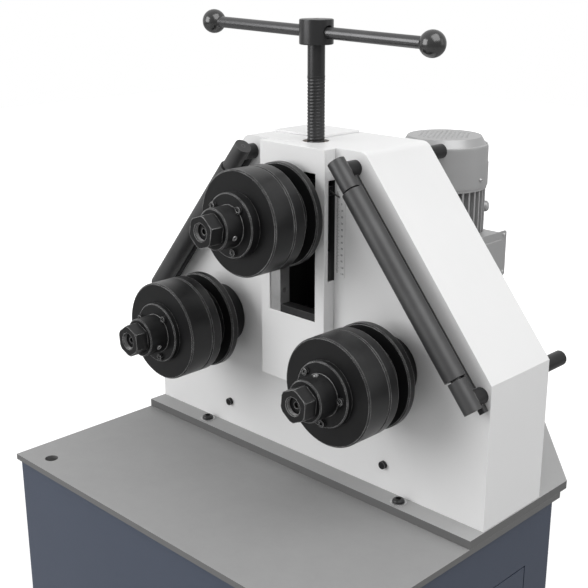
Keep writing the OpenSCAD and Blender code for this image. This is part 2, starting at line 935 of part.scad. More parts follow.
// The slide block with a bearing at each end of its bore
module slide() {
    color(bright) {
        difference() {
            block([-slide_width / 2, slide_front, top_z - slide_below], [slide_width / 2, slide_rear, slide_top]);
            rod_y(0, top_z, slide_front - overrun, slide_rear + overrun, slide_bore, smooth_steps);
            rod_z(0, screw_behind, collar_bottom - running_gap, slide_top + overrun,
                  thrust_collar + 2 * loose_gap);
        }
        for (from_y = [slide_front, slide_rear - bearing_width])
            difference() {
                rod_y(0, top_z, from_y, from_y + bearing_width, slide_bore, smooth_steps);
                rod_y(0, top_z, from_y - overrun, from_y + bearing_width + overrun,
                      journal_top + 2 * running_gap, smooth_steps);
            }
    }
}

module thrust_cap() {
    color(steel)
        difference() {
            block([-thrust_cap_width / 2, screw_behind - thrust_cap_depth / 2, slide_top],
                  [thrust_cap_width / 2, screw_behind + thrust_cap_depth / 2, slide_top + thrust_cap_height]);
            rod_z(0, screw_behind, slide_top - overrun, slide_top + thrust_cap_height + overrun,
                  screw_diameter + 2 * loose_gap);
        }
}

pointer_height = 40;
pointer_root = 14;
pointer_reach = 12;
pointer_drop = 8;
pointer_needle = 2.5;
pointer_tip_x = 82;
pointer_tip_y = -3;

module pointer() {
    seat_x = slide_width / 2 - pointer_seat;
    arm_x = box_width / 2 - box_sheet - keeper_side;
    needle_y = slide_front - pointer_reach / 2;
    needle_from = [arm_x - loose_gap, needle_y, top_z + pointer_height];
    needle_to = [pointer_tip_x, pointer_tip_y, top_z + pointer_height - pointer_drop];
    needle_way = needle_to - needle_from;
    color(steel) {
        block([seat_x, slide_front - pointer_reach, top_z + pointer_height - pointer_root / 2],
              [slide_width / 2 - slide_gap, slide_front, top_z + pointer_height + pointer_root / 2]);
        block([seat_x, slide_front - pointer_reach, top_z + pointer_height - pointer_root / 2],
              [arm_x, keeper_rear - loose_gap, top_z + pointer_height + pointer_root / 2]);
        translate(needle_from)
            rotate([0, acos(needle_way[2] / norm(needle_way)), atan2(needle_way[1], needle_way[0])])
                cylinder(d = pointer_needle, h = norm(needle_way));
    }
}

head_middle = base_top + head_bottom + head_height / 2;
head_z = base_top + head_bottom;
head_chamfer = 2;
bar_hole_play = 2.6;

module press_screw() {
    color(steel)
        difference() {
            union() {
                rod_z(0, screw_behind, collar_bottom, head_z + head_chamfer, screw_diameter, smooth_steps);
                rod_z(0, screw_behind, collar_bottom, slide_top - running_gap, thrust_collar);
                translate([0, screw_behind, head_z])
                    rotate_extrude($fn = smooth_steps)
                        polygon([
                            [0, 0],
                            [head_diameter / 2 - head_chamfer, 0],
                            [head_diameter / 2, head_chamfer],
                            [head_diameter / 2, head_height - head_chamfer],
                            [head_diameter / 2 - head_chamfer, head_height],
                            [0, head_height]
                        ]);
            }
            rod_x(screw_behind, head_middle, -head_diameter, head_diameter, bar_diameter + bar_hole_play);
        }
}

module lean_bar() {
    translate([-bar_offset, screw_behind, head_middle])
        rotate([0, bar_lean, 0])
            children();
}

module tommy_bar() {
    color(steel)
        lean_bar()
            rod_x(0, 0, -bar_length / 2, bar_length / 2, bar_diameter);
}

module ball_knobs() {
    color(ball_black)
        lean_bar()
            for (side = sides)
                difference() {
                    translate([side * bar_length / 2, 0, 0])
                        sphere(d = ball_diameter, $fn = smooth_steps);
                    rod_x(0, 0, -bar_length / 2, bar_length / 2, bar_diameter);
                }
}

// The planes of a roll set, front to rear, from the widths of its pieces
function planes_of(gap, disc, groove, second, ring, flange, sleeve, nut) = [
    -gap - disc - groove - second - ring - flange - sleeve - nut,
    -gap - disc - groove - second - ring - flange - sleeve,
    -gap - disc - groove - second - ring - flange,
    -gap - disc - groove - second - ring,
    -gap - disc - groove - second,
    -gap - disc - groove,
    -gap - disc,
    -gap
];
lower_planes = planes_of(lower_disc_distance, disc_width, groove_width, lower_second_width, lower_ring_width,
                         lower_flange_width, lower_sleeve_length, lower_nut_length);
top_planes = planes_of(top_disc_distance, disc_width, groove_width, top_second_width, top_ring_width,
                       top_flange_width, top_sleeve_length, top_nut_length);
NUT = 0;
SLEEVE = 1;
FLANGE = 2;
FACE = 3;
SEAM = 4;
GROOVE = 5;
DISC = 6;
BACK = 7;
top_place = [0, top_z];
left_place = [-lower_axis_side, lower_z];
right_place = [lower_axis_side, lower_z];
nut_recess = 7;
nut_chamfer = 2;
hub_chamfer = 1.5;
end_hole = 9;
end_hole_depth = 6;
collar_lower = 62;
collar_top = 54;

// The front ring and the second ring, which is turned down behind, where the groove runs
module rolls(place, planes) {
    color(steel) {
        turned_ring(place[0], place[1], planes[FACE], planes[SEAM] - seam_gap, roll_diameter, seat_diameter,
                    roll_chamfer);
        translate([place[0], planes[SEAM], place[1]])
            rotate([-right_angle, 0, 0])
                rotate_extrude($fn = smooth_steps)
                    polygon([
                        [seat_diameter / 2, 0],
                        [roll_diameter / 2 - roll_chamfer, 0],
                        [roll_diameter / 2, roll_chamfer],
                        [roll_diameter / 2, planes[GROOVE] - planes[SEAM] - roll_chamfer],
                        [roll_diameter / 2 - roll_chamfer, planes[GROOVE] - planes[SEAM]],
                        [groove_diameter / 2, planes[GROOVE] - planes[SEAM]],
                        [groove_diameter / 2, planes[DISC] - planes[SEAM]],
                        [seat_diameter / 2, planes[DISC] - planes[SEAM]]
                    ]);
    }
}

seam_gap = 0.1;

module rear_disc(place, planes) {
    color(steel)
        turned_ring(place[0], place[1], planes[DISC], planes[BACK], roll_diameter, seat_diameter, roll_chamfer);
}

module hub(place, planes) {
    color(steel)
        translate([place[0], planes[SLEEVE], place[1]])
            rotate([-right_angle, 0, 0])
                rotate_extrude($fn = smooth_steps)
                    polygon([
                        [seat_diameter / 2, 0],
                        [sleeve_diameter / 2 - hub_chamfer, 0],
                        [sleeve_diameter / 2, hub_chamfer],
                        [sleeve_diameter / 2, planes[FLANGE] - planes[SLEEVE]],
                        [flange_diameter / 2 - hub_chamfer, planes[FLANGE] - planes[SLEEVE]],
                        [flange_diameter / 2, planes[FLANGE] - planes[SLEEVE] + hub_chamfer],
                        [flange_diameter / 2, planes[FACE] - planes[SLEEVE]],
                        [seat_diameter / 2, planes[FACE] - planes[SLEEVE]]
                    ]);
}

module shaft_nut(place, planes, turn) {
    color(steel)
        difference() {
            translate([place[0], 0, place[1]])
                rotate([0, turn, 0])
                    intersection() {
                        rod_y(0, 0, planes[NUT], planes[SLEEVE], nut_flats / cos(half_turn / hex_sides), hex_sides);
                        turned_ring(0, 0, planes[NUT], planes[SLEEVE], nut_flats / cos(half_turn / hex_sides),
                                    0, nut_chamfer);
                    }
            rod_y(place[0], place[1], planes[NUT] - overrun, planes[SLEEVE] + overrun, thread_diameter);
        }
}

top_nut_turn = 41;
left_nut_turn = 24;
right_nut_turn = 36;

module roll_shaft(place, planes, collar, collar_rear, rear_y, journal_diameter) {
    color(steel)
        difference() {
            union() {
                rod_y(place[0], place[1], planes[NUT] + nut_recess, planes[SLEEVE] + overrun, thread_diameter);
                rod_y(place[0], place[1], planes[SLEEVE], planes[BACK] + overrun, seat_diameter, smooth_steps);
                rod_y(place[0], place[1], planes[BACK], collar_rear, collar, smooth_steps);
                rod_y(place[0], place[1], collar_rear - overrun, rear_y, journal_diameter, smooth_steps);
            }
            rod_y(place[0], place[1], planes[NUT], planes[NUT] + nut_recess + end_hole_depth, end_hole);
        }
}

// Behind the slide a locknut keeps the top shaft in
lock_ring = 66;
lock_ring_width = 9;

module top_shaft() {
    lock_front = slide_rear + loose_gap;
    roll_shaft(top_place, top_planes, collar_top, slide_front - loose_gap, lock_front + lock_ring_width, journal_top);
    color(steel)
        rod_y(0, top_z, lock_front, lock_front + lock_ring_width, lock_ring, smooth_steps);
}

bearing_floor = 4;
lower_shaft_rear = housing_depth + rear_bearing_thickness - loose_gap - bearing_floor;

module lower_shaft(place) {
    roll_shaft(place, lower_planes, collar_lower, -bearing_flange_thickness - loose_gap, lower_shaft_rear, journal);
}

module front_bearings() {
    color(steel)
        for (place = [left_place, right_place])
            difference() {
                union() {
                    turned_ring(place[0], place[1], -bearing_flange_thickness, 0, bearing_flange,
                                journal, roll_chamfer);
                    rod_y(place[0], place[1], -overrun, bearing_tube_rear, bearing_tube, smooth_steps);
                }
                rod_y(place[0], place[1], -bearing_flange_thickness - overrun, bearing_tube_rear + overrun,
                      journal + 2 * running_gap, smooth_steps);
            }
}

module rear_bearings() {
    color(steel)
        for (place = [left_place, right_place])
            difference() {
                union() {
                    rod_y(place[0], place[1], housing_depth, housing_depth + rear_bearing_thickness,
                          rear_bearing_flange, smooth_steps);
                    rod_y(place[0], place[1], rear_plate_front, housing_depth + overrun, rear_bearing_plug);
                }
                rod_y(place[0], place[1], rear_plate_front - overrun,
                      housing_depth + rear_bearing_thickness - bearing_floor,
                      journal + 2 * running_gap, smooth_steps);
            }
}

// Spur gears as an outline: each tooth is a trapezium on the root circle
gear_addendum_share = 0.8;
gear_dedendum_share = 1.25;
tooth_root_share = 0.66;
tooth_tip_share = 0.3;

function gear_points(teeth) = [
    for (tooth = [0 : teeth - 1])
        let (pitch_radius = gear_module * teeth / 2,
             root = pitch_radius - gear_module * gear_dedendum_share,
             tip = pitch_radius + gear_module * gear_addendum_share,
             step = full_turn / teeth,
             middle = tooth * step)
            each [
                root * [cos(middle - step * tooth_root_share / 2), sin(middle - step * tooth_root_share / 2)],
                tip * [cos(middle - step * tooth_tip_share / 2), sin(middle - step * tooth_tip_share / 2)],
                tip * [cos(middle + step * tooth_tip_share / 2), sin(middle + step * tooth_tip_share / 2)],
                root * [cos(middle + step * tooth_root_share / 2), sin(middle + step * tooth_root_share / 2)]
            ]
];

module gear(place, teeth, turn, bore) {
    color(bright)
        difference() {
            translate([place[0], gear_front + gear_width, place[1]])
                rotate([right_angle, 0, 0])
                    rotate([0, 0, turn])
                        linear_extrude(gear_width)
                            polygon(gear_points(teeth));
            rod_y(place[0], place[1], gear_front - overrun, gear_front + gear_width + overrun, bore);
        }
}

half_tooth = half_turn / gear_teeth;

// The pinion is cut on the gearbox's output shaft
module drive_pinion() {
    gear([0, lower_z], pinion_teeth, 0, output_journal / 2);
    color(steel)
        rod_y(0, lower_z, front_plate_thickness, gearbox_rear - gearbox_wall - loose_gap, output_journal,
              smooth_steps);
}

mesh_gap = 0.5;
gearbox_web_share = 0.4;
cavity_gap = 3;
gearbox_neck = 100;
neck_flange = 150;
neck_flange_thickness = 12;
gearbox_half = 46;
gearbox_front = worm_behind - gearbox_half;
gearbox_rear = worm_behind + gearbox_half;
gearbox_wall = 10;
gearbox_seal = 18;
worm_diameter = 34;
wheel_diameter = 2 * worm_distance - worm_diameter - 2 * mesh_gap;
wheel_width = 36;
gearbox_cavity = wheel_diameter + 2 * cavity_gap;
gearbox_drum = gearbox_cavity + 2 * gearbox_wall;
worm_cavity = worm_diameter + 2 * cavity_gap;
worm_tube = worm_cavity + 2 * gearbox_wall;
worm_tube_half = 66;
worm_journal = 24;
flange_foot = 10;
flange_inset = 6;
motor_flange = 2 * (motor_radius - flange_inset);
motor_flange_thickness = 10;
worm_tube_bottom = lower_z - worm_tube_half;
worm_shaft_bottom = worm_tube_bottom + gearbox_wall;

module gearbox_case() {
    color(motor_paint)
        difference() {
            union() {
                rod_y(0, lower_z, housing_depth, gearbox_front + overrun, gearbox_neck, smooth_steps);
                rod_y(0, lower_z, housing_depth, housing_depth + neck_flange_thickness, neck_flange, smooth_steps);
                rod_y(0, lower_z, gearbox_front, gearbox_rear, gearbox_drum, smooth_steps);
                rod_z(worm_distance, worm_behind, worm_tube_bottom, motor_base, worm_tube, smooth_steps);
                block([0, gearbox_front, lower_z - gearbox_drum * gearbox_web_share],
                      [worm_distance, gearbox_rear, lower_z + gearbox_drum * gearbox_web_share]);
                rod_z(worm_distance, worm_behind, motor_base - flange_foot, motor_base, motor_flange);
            }
            rod_y(0, lower_z, housing_depth - overrun, gearbox_rear - gearbox_wall,
                  output_journal + 2 * running_gap, smooth_steps);
            rod_y(0, lower_z, gearbox_front + gearbox_seal, gearbox_rear - gearbox_seal, gearbox_cavity,
                  smooth_steps);
            rod_z(worm_distance, worm_behind, worm_shaft_bottom - loose_gap, motor_base + overrun, worm_cavity);
            rod_z(worm_distance, worm_behind, motor_base, motor_base + motor_flange_thickness + overrun,
                  motor_flange + 2 * loose_gap, smooth_steps);
        }
}

motor_base = base_top + motor_foot - motor_flange_thickness;
cover_screw_ring = 66;

module worm_wheel() {
    color(bronze)
        difference() {
            rod_y(0, lower_z, worm_behind - wheel_width / 2, worm_behind + wheel_width / 2, wheel_diameter,
                  smooth_steps);
            rod_y(0, lower_z, worm_behind - wheel_width, worm_behind + wheel_width, output_journal, smooth_steps);
        }
}

fin_count = 36;
fin_height = 11;
fin_thickness = 3;
stator_bottom = base_top + motor_foot;
cover_wall = 1.5;
shield_height = 10;
stator_top = base_top + motor_cover_bottom + shield_height / 2;

fin_tip = 2 * (motor_radius - 2 * cover_wall);
fin_root = fin_tip - 2 * fin_height;

module motor_body() {
    color(motor_paint)
        difference() {
            union() {
                rod_z(worm_distance, worm_behind, motor_base, stator_bottom, motor_flange, smooth_steps);
                rod_z(worm_distance, worm_behind, stator_bottom - overrun, stator_top, fin_root, smooth_steps);
                rod_z(worm_distance, worm_behind, stator_top - shield_height, stator_top,
                      2 * (motor_radius - cover_wall), smooth_steps);
                for (fin = [0 : fin_count - 1])
                    translate([worm_distance, worm_behind, stator_bottom - overrun])
                        rotate([0, 0, (fin + 1 / 2) * full_turn / fin_count])
                            translate([0, -fin_thickness / 2, 0])
                                cube([fin_tip / 2, fin_thickness, stator_top - stator_bottom]);
            }
            rod_z(worm_distance, worm_behind, motor_base - overrun, stator_top + overrun,
                  worm_journal + 2 * running_gap);
        }
}

fan_inset = 14;
fan_diameter = 2 * (motor_radius - fan_inset);
fan_hub = 40;
fan_blades = 8;
fan_blade_thickness = 2;
fan_bottom = stator_top + 2 * overrun;
fan_height = 34;

module motor_shaft() {
    color(steel) {
        rod_z(worm_distance, worm_behind, worm_shaft_bottom, fan_bottom + fan_height, worm_journal);
        rod_z(worm_distance, worm_behind, lower_z - wheel_diameter / 2, lower_z + wheel_diameter / 2,
              worm_diameter, smooth_steps);
    }
}

module motor_fan() {
    color(ball_black)
        difference() {
            union() {
                rod_z(worm_distance, worm_behind, fan_bottom, fan_bottom + fan_height, fan_hub);
                rod_z(worm_distance, worm_behind, fan_bottom, fan_bottom + fan_blade_thickness, fan_diameter);
                for (blade = [0 : fan_blades - 1])
                    translate([worm_distance, worm_behind, fan_bottom])
                        rotate([0, 0, blade * full_turn / fan_blades])
                            block([worm_journal / 2 + fan_blade_thickness, -fan_blade_thickness / 2, 0],
                                  [fan_diameter / 2 - fan_blade_thickness, fan_blade_thickness / 2, fan_height]);
            }
            rod_z(worm_distance, worm_behind, fan_bottom - overrun, fan_bottom + fan_height + overrun,
                  worm_journal);
        }
}

cover_shoulder = 18;
cover_top_inset = 9;
cover_top_radius = motor_radius - cover_top_inset;
cover_bead = 37;
cover_bead_height = 4;
cover_bead_step = 1.2;
grille_hole = 5;
grille_pitch = 9;
grille_radius = 46;
grille_rows = 5;

module fan_cover() {
    bottom = base_top + motor_cover_bottom;
    rise = motor_top - motor_cover_bottom;
    row_rise = grille_pitch * sin(full_turn / hex_sides);
    color(motor_paint)
        translate([worm_distance, worm_behind, bottom])
            difference() {
                rotate_extrude($fn = smooth_steps)
                    difference() {
                        cover_outline(motor_radius, cover_top_radius, rise, 0);
                        cover_outline(motor_radius - cover_wall, cover_top_radius - cover_wall,
                                      rise - cover_wall, overrun);
                    }
                for (row = [-grille_rows : grille_rows])
                    for (column = [-grille_rows : grille_rows])
                        grille_cut((column + (row % 2) / 2) * grille_pitch, row * row_rise, rise);
            }
}

module grille_cut(x, y, rise) {
    if (norm([x, y]) < grille_radius)
        rod_z(x, y, rise - cover_wall - overrun, rise + overrun, grille_hole, 16);
}

module cover_outline(radius, top_radius, rise, below) {
    polygon([
        [0, -below],
        [radius, -below],
        [radius, cover_bead],
        [radius - cover_bead_step, cover_bead + cover_bead_height],
        [radius - cover_bead_step, rise - cover_shoulder],
        [radius - (radius - top_radius) * cover_turn_share, rise - cover_shoulder * cover_bend_share],
        [top_radius, rise],
        [0, rise]
    ]);
}

cover_bend_share = 0.45;
cover_turn_share = 1 / 3;
terminal_lid_thickness = 5;
terminal_wall = 3;
terminal_over_foot = 8;
terminal_bottom = base_top + motor_foot + terminal_over_foot;

module terminal_box() {
    y_middle = worm_behind + terminal_behind;
    color(motor_paint) {
        terminal_lid();
        difference() {
            block([worm_distance + fin_root / 2 - terminal_wall, y_middle - terminal_width / 2 + lid_corner,
                   terminal_bottom + lid_corner],
                  [worm_distance + terminal_reach - terminal_lid_thickness,
                   y_middle + terminal_width / 2 - lid_corner, terminal_bottom + terminal_height - lid_corner]);
            rod_z(worm_distance, worm_behind, terminal_bottom - overrun, terminal_bottom + terminal_height + overrun,
                  fin_tip + 2 * running_gap, smooth_steps);
        }
    }
}

terminal_behind = 7;
lid_border = 14;
lid_raise = 3;
lid_corner = 5;

lid_steps = 5;

// A rectangle with rounded corners, one quarter after the other
function rounded_points(half_width, half_height, corner) = [
    for (quarter = [0 : 3], step = [0 : lid_steps])
        let (turn = right_angle * (quarter + step / lid_steps),
             middle = right_angle * quarter + right_angle / 2)
            [sign(cos(middle)) * (half_width - corner) + corner * cos(turn),
             sign(sin(middle)) * (half_height - corner) + corner * sin(turn)]
];

// A rounded plate that faces the right, with a border taken off all round
module lid_plate(from_x, to_x, border) {
    translate([from_x, worm_behind + terminal_behind, terminal_bottom + terminal_height / 2])
        rotate([right_angle, 0, right_angle])
            linear_extrude(to_x - from_x)
                polygon(rounded_points(terminal_width / 2 - border, terminal_height / 2 - border, lid_corner));
}

module terminal_lid() {
    lid_x = worm_distance + terminal_reach;
    lid_plate(lid_x - terminal_lid_thickness, lid_x - lid_raise, 0);
    lid_plate(lid_x - terminal_lid_thickness, lid_x, lid_border);
}

// Along a guide bar: its own Z runs down the leaning edge from the middle between the studs
module along_guide(side) {
    scale([side, 1, 1])
        translate([guide_middle[0], guide_y, guide_middle[1]])
            rotate([0, half_turn - guide_tilt, 0])
                children();
}

spigot = 12;
rod_seat = 12;
stud_gap = 0.3;
stud_chamfer = 3;
stud_end_step = 0.5;
back_rod_gap = 1;
back_rod_aside = 4;
guide_rod_length = guide_sleeve_length + 2 * guide_end_gap + 2 * rod_seat;

// Each stud runs through the housing to its turned rear end, with a spigot in its end block at the front, and a thin
// rod joins the two of a side
module guide_studs() {
    stud_end = housing_depth + stud_rear;
    stud_end_diameter = stud_diameter - 2 * stud_end_step;
    color(steel)
        for (side = sides) {
            for (point = stud_points) {
                difference() {
                    rod_y(side * point[0], point[1], guide_y, housing_depth, stud_diameter);
                    along_guide(side)
                        cylinder(d = end_block_diameter, h = stud_span * 2, center = true, $fn = smooth_steps);
                }
                rod_y(side * point[0], point[1], housing_depth - overrun, stud_end - stud_chamfer, stud_end_diameter);
                translate([side * point[0], stud_end - stud_chamfer, point[1]])
                    rotate([-right_angle, 0, 0])
                        cylinder(d1 = stud_end_diameter, d2 = stud_end_diameter - 2 * stud_chamfer, h = stud_chamfer);
                rod_y(side * point[0], point[1], guide_y, -stud_diameter / 2, spigot);
            }
            along_guide(side)
                translate([back_rod_aside, guide_bar_ahead - back_rod_gap - back_rod_diameter / 2, -stud_span / 2])
                    cylinder(d = back_rod_diameter, h = stud_span + back_rod_past);
        }
}

// Two end blocks with the rod that the sleeve turns on
module guide_holders() {
    color(steel)
        for (side = sides)
            difference() {
                along_guide(side) {
                    for (end = sides)
                        scale([1, 1, end])
                            translate([0, 0, stud_span / 2 + end_block_past - end_block_length])
                                cylinder(d = end_block_diameter, h = end_block_length, $fn = smooth_steps);
                    cylinder(d = guide_rod_diameter, h = guide_rod_length, center = true);
                }
                for (point = stud_points)
                    rod_y(side * point[0], point[1], guide_y, 0, spigot);
            }
}

module guide_sleeve(side) {
    color(steel)
        along_guide(side)
            difference() {
                cylinder(d = guide_sleeve_diameter, h = guide_sleeve_length, center = true, $fn = smooth_steps);
                cylinder(d = guide_rod_diameter + 2 * running_gap, h = guide_sleeve_length + 2 * overrun,
                         center = true);
            }
}

foot_frame();
front_panel();
rear_panel();
left_panel();
right_panel();
inner_shelf();
table_plate();
base_plate();
base_bolts();
front_plate();
housing_wrap();
rear_plate();
top_cover();
plate_plugs();
slide_box();
keepers();
cross_bar();
slide_guides();
nut_block();
screw_nut();
scale_plate();
front_bearings();
rear_bearings();
guide_studs();
guide_holders();
gearbox_case();
motor_body();
fan_cover();
terminal_box();
door();
door_lock();
slide();
thrust_cap();
pointer();
press_screw();
tommy_bar();
ball_knobs();
rolls(top_place, top_planes);  // top_rolls
rear_disc(top_place, top_planes);  // top_rear_disc
hub(top_place, top_planes);  // top_hub
shaft_nut(top_place, top_planes, top_nut_turn);  // top_nut
top_shaft();
rolls(left_place, lower_planes);  // left_rolls
rear_disc(left_place, lower_planes);  // left_rear_disc
hub(left_place, lower_planes);  // left_hub
shaft_nut(left_place, lower_planes, left_nut_turn);  // left_nut
lower_shaft(left_place);  // left_shaft
gear(left_place, gear_teeth, half_tooth, journal);  // left_gear
rolls(right_place, lower_planes);  // right_rolls
rear_disc(right_place, lower_planes);  // right_rear_disc
hub(right_place, lower_planes);  // right_hub
shaft_nut(right_place, lower_planes, right_nut_turn);  // right_nut
lower_shaft(right_place);  // right_shaft
gear(right_place, gear_teeth, half_tooth, journal);  // right_gear
drive_pinion();
worm_wheel();
motor_shaft();
motor_fan();
guide_sleeve(-1);  // left_sleeve
guide_sleeve(1);  // right_sleeve
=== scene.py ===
import json
import math

import bmesh
import bpy
from mathutils import Matrix, Vector


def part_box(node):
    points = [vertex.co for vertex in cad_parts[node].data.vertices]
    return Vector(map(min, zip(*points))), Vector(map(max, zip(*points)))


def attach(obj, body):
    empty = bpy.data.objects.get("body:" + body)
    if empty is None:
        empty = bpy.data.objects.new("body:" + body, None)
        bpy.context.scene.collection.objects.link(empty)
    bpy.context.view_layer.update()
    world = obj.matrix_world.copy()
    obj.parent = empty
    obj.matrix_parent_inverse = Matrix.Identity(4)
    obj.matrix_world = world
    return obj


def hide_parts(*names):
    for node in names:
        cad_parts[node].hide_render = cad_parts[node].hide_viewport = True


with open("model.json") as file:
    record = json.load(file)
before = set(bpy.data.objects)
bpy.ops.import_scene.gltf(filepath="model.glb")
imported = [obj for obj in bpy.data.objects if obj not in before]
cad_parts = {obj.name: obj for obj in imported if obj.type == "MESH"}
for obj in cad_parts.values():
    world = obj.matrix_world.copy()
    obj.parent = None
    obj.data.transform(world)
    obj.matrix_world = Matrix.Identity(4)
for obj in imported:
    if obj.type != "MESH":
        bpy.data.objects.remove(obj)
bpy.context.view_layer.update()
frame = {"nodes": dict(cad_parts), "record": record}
nodes = frame["nodes"]
mm = 0.001
print("frame loaded, nodes:", len(nodes))


# Camera

cameraSettings = {
    "place": (1.13377, -1.16050, 1.45752),
    "turn": 44.797,      # degrees to the right of straight ahead
    "down": 17.410,      # degrees below level
    "roll": -0.118,
    "lens": 64.203,
    "sensor": 36.0,
}


def addCamera(s):
    lens = bpy.data.cameras.new("photoCamera")
    lens.sensor_width = s["sensor"]
    lens.lens = s["lens"]
    lens.clip_start = 0.05
    lens.clip_end = 50
    camera = bpy.data.objects.new("photoCamera", lens)
    bpy.context.scene.collection.objects.link(camera)
    turn = Matrix.Rotation(math.radians(s["turn"]), 4, "Z")
    tip = Matrix.Rotation(math.radians(90 - s["down"]), 4, "X")
    roll = Matrix.Rotation(math.radians(s["roll"]), 4, "Z")
    camera.matrix_world = Matrix.Translation(s["place"]) @ turn @ tip @ roll
    bpy.context.scene.camera = camera
    return camera


addCamera(cameraSettings)
print("camera placed")


# Node helpers

def addNode(tree, kind, **values):
    node = tree.nodes.new(kind)
    for name, value in values.items():
        setattr(node, name, value)
    return node


def link(tree, source, target):
    tree.links.new(source, target)


def newGroup(name, inputs, outputs):
    tree = bpy.data.node_groups.new(name, "ShaderNodeTree")
    for label, kind, start in inputs:
        socket = tree.interface.new_socket(name=label, in_out="INPUT", socket_type=kind)
        if start is not None:
            socket.default_value = start
    for label, kind in outputs:
        tree.interface.new_socket(name=label, in_out="OUTPUT", socket_type=kind)
    return tree, addNode(tree, "NodeGroupInput"), addNode(tree, "NodeGroupOutput")


def useGroup(tree, group, **values):
    node = addNode(tree, "ShaderNodeGroup")
    node.node_tree = group
    for label, value in values.items():
        node.inputs[label].default_value = value
    return node


def scaleRange(tree, value, fromLow, fromHigh, toLow, toHigh):
    node = addNode(tree, "ShaderNodeMapRange")
    link(tree, value, node.inputs["Value"])
    node.inputs["From Min"].default_value = fromLow
    node.inputs["From Max"].default_value = fromHigh
    node.inputs["To Min"].default_value = toLow
    node.inputs["To Max"].default_value = toHigh
    return node.outputs["Result"]


def combine(tree, operation, first, second):
    node = addNode(tree, "ShaderNodeMath", operation=operation)
    for place, value in enumerate((first, second)):
        if isinstance(value, (int, float)):
            node.inputs[place].default_value = value
        else:
            link(tree, value, node.inputs[place])
    return node.outputs[0]


def mixColour(tree, factor, first, second):
    node = addNode(tree, "ShaderNodeMix", data_type="RGBA")
    link(tree, factor, node.inputs["Factor"])
    for socket, value in ((node.inputs[6], first), (node.inputs[7], second)):
        if isinstance(value, (tuple, list)):
            socket.default_value = (*value[:3], 1)
        else:
            link(tree, value, socket)
    return node.outputs[2]


# Shader groups

# Worn edges, and bright edges that partly stand for painted highlights: the difference between the rounded and the
# true normal, broken up by noise
def makeEdgeWear():
    tree, start, end = newGroup(
        "edgeWearAndHighlight",
        [("Radius", "NodeSocketFloat", 0.001), ("Reach", "NodeSocketFloat", 0.5),
         ("Patches", "NodeSocketFloat", 40.0)],
        [("Mask", "NodeSocketFloat")],
    )
    bevel = addNode(tree, "ShaderNodeBevel", samples=4)
    link(tree, start.outputs["Radius"], bevel.inputs["Radius"])
    flat = addNode(tree, "ShaderNodeNewGeometry")
    dot = addNode(tree, "ShaderNodeVectorMath", operation="DOT_PRODUCT")
    link(tree, bevel.outputs["Normal"], dot.inputs[0])
    link(tree, flat.outputs["Normal"], dot.inputs[1])
    edge = combine(tree, "SUBTRACT", 1.0, dot.outputs["Value"])
    where = addNode(tree, "ShaderNodeTexCoord")
    noise = addNode(tree, "ShaderNodeTexNoise")
    noise.inputs["Detail"].default_value = 4
    link(tree, where.outputs["Object"], noise.inputs["Vector"])
    link(tree, start.outputs["Patches"], noise.inputs["Scale"])
    broken = scaleRange(tree, noise.outputs["Fac"], 0.35, 0.65, 0.35, 1.0)
    sharp = scaleRange(tree, edge, 0.004, 0.035, 0.0, 1.0)
    mask = combine(tree, "MULTIPLY", combine(tree, "MULTIPLY", sharp, broken), start.outputs["Reach"])
    link(tree, mask, end.inputs["Mask"])
    return tree


# Slow change of shade over a large face
def makeShade():
    tree, start, end = newGroup(
        "slowShade",
        [("Scale", "NodeSocketFloat", 3.0), ("Low", "NodeSocketFloat", 0.9), ("High", "NodeSocketFloat", 1.0)],
        [("Value", "NodeSocketFloat")],
    )
    where = addNode(tree, "ShaderNodeTexCoord")
    noise = addNode(tree, "ShaderNodeTexNoise")
    noise.inputs["Detail"].default_value = 5
    noise.inputs["Roughness"].default_value = 0.6
    link(tree, where.outputs["Object"], noise.inputs["Vector"])
    link(tree, start.outputs["Scale"], noise.inputs["Scale"])
    spread = addNode(tree, "ShaderNodeMapRange")
    link(tree, noise.outputs["Fac"], spread.inputs["Value"])
    spread.inputs["From Min"].default_value = 0.3
    spread.inputs["From Max"].default_value = 0.7
    link(tree, start.outputs["Low"], spread.inputs["To Min"])
    link(tree, start.outputs["High"], spread.inputs["To Max"])
    link(tree, spread.outputs["Result"], end.inputs["Value"])
    return tree


# The fine skin of sprayed paint or of a cast surface
def makeSkin():
    tree, start, end = newGroup(
        "fineSkin",
        [("Scale", "NodeSocketFloat", 600.0), ("Fine", "NodeSocketFloat", 0.3)],
        [("Height", "NodeSocketFloat"), ("Value", "NodeSocketFloat")],
    )
    where = addNode(tree, "ShaderNodeTexCoord")
    peel = addNode(tree, "ShaderNodeTexNoise")
    peel.inputs["Detail"].default_value = 2
    grain = addNode(tree, "ShaderNodeTexNoise")
    grain.inputs["Detail"].default_value = 1
    finer = combine(tree, "MULTIPLY", start.outputs["Scale"], 4.0)
    for node, scale in ((peel, start.outputs["Scale"]), (grain, finer)):
        link(tree, where.outputs["Object"], node.inputs["Vector"])
        link(tree, scale, node.inputs["Scale"])
    small = combine(tree, "MULTIPLY", grain.outputs["Fac"], start.outputs["Fine"])
    link(tree, combine(tree, "ADD", peel.outputs["Fac"], small), end.inputs["Height"])
    link(tree, grain.outputs["Fac"], end.inputs["Value"])
    return tree


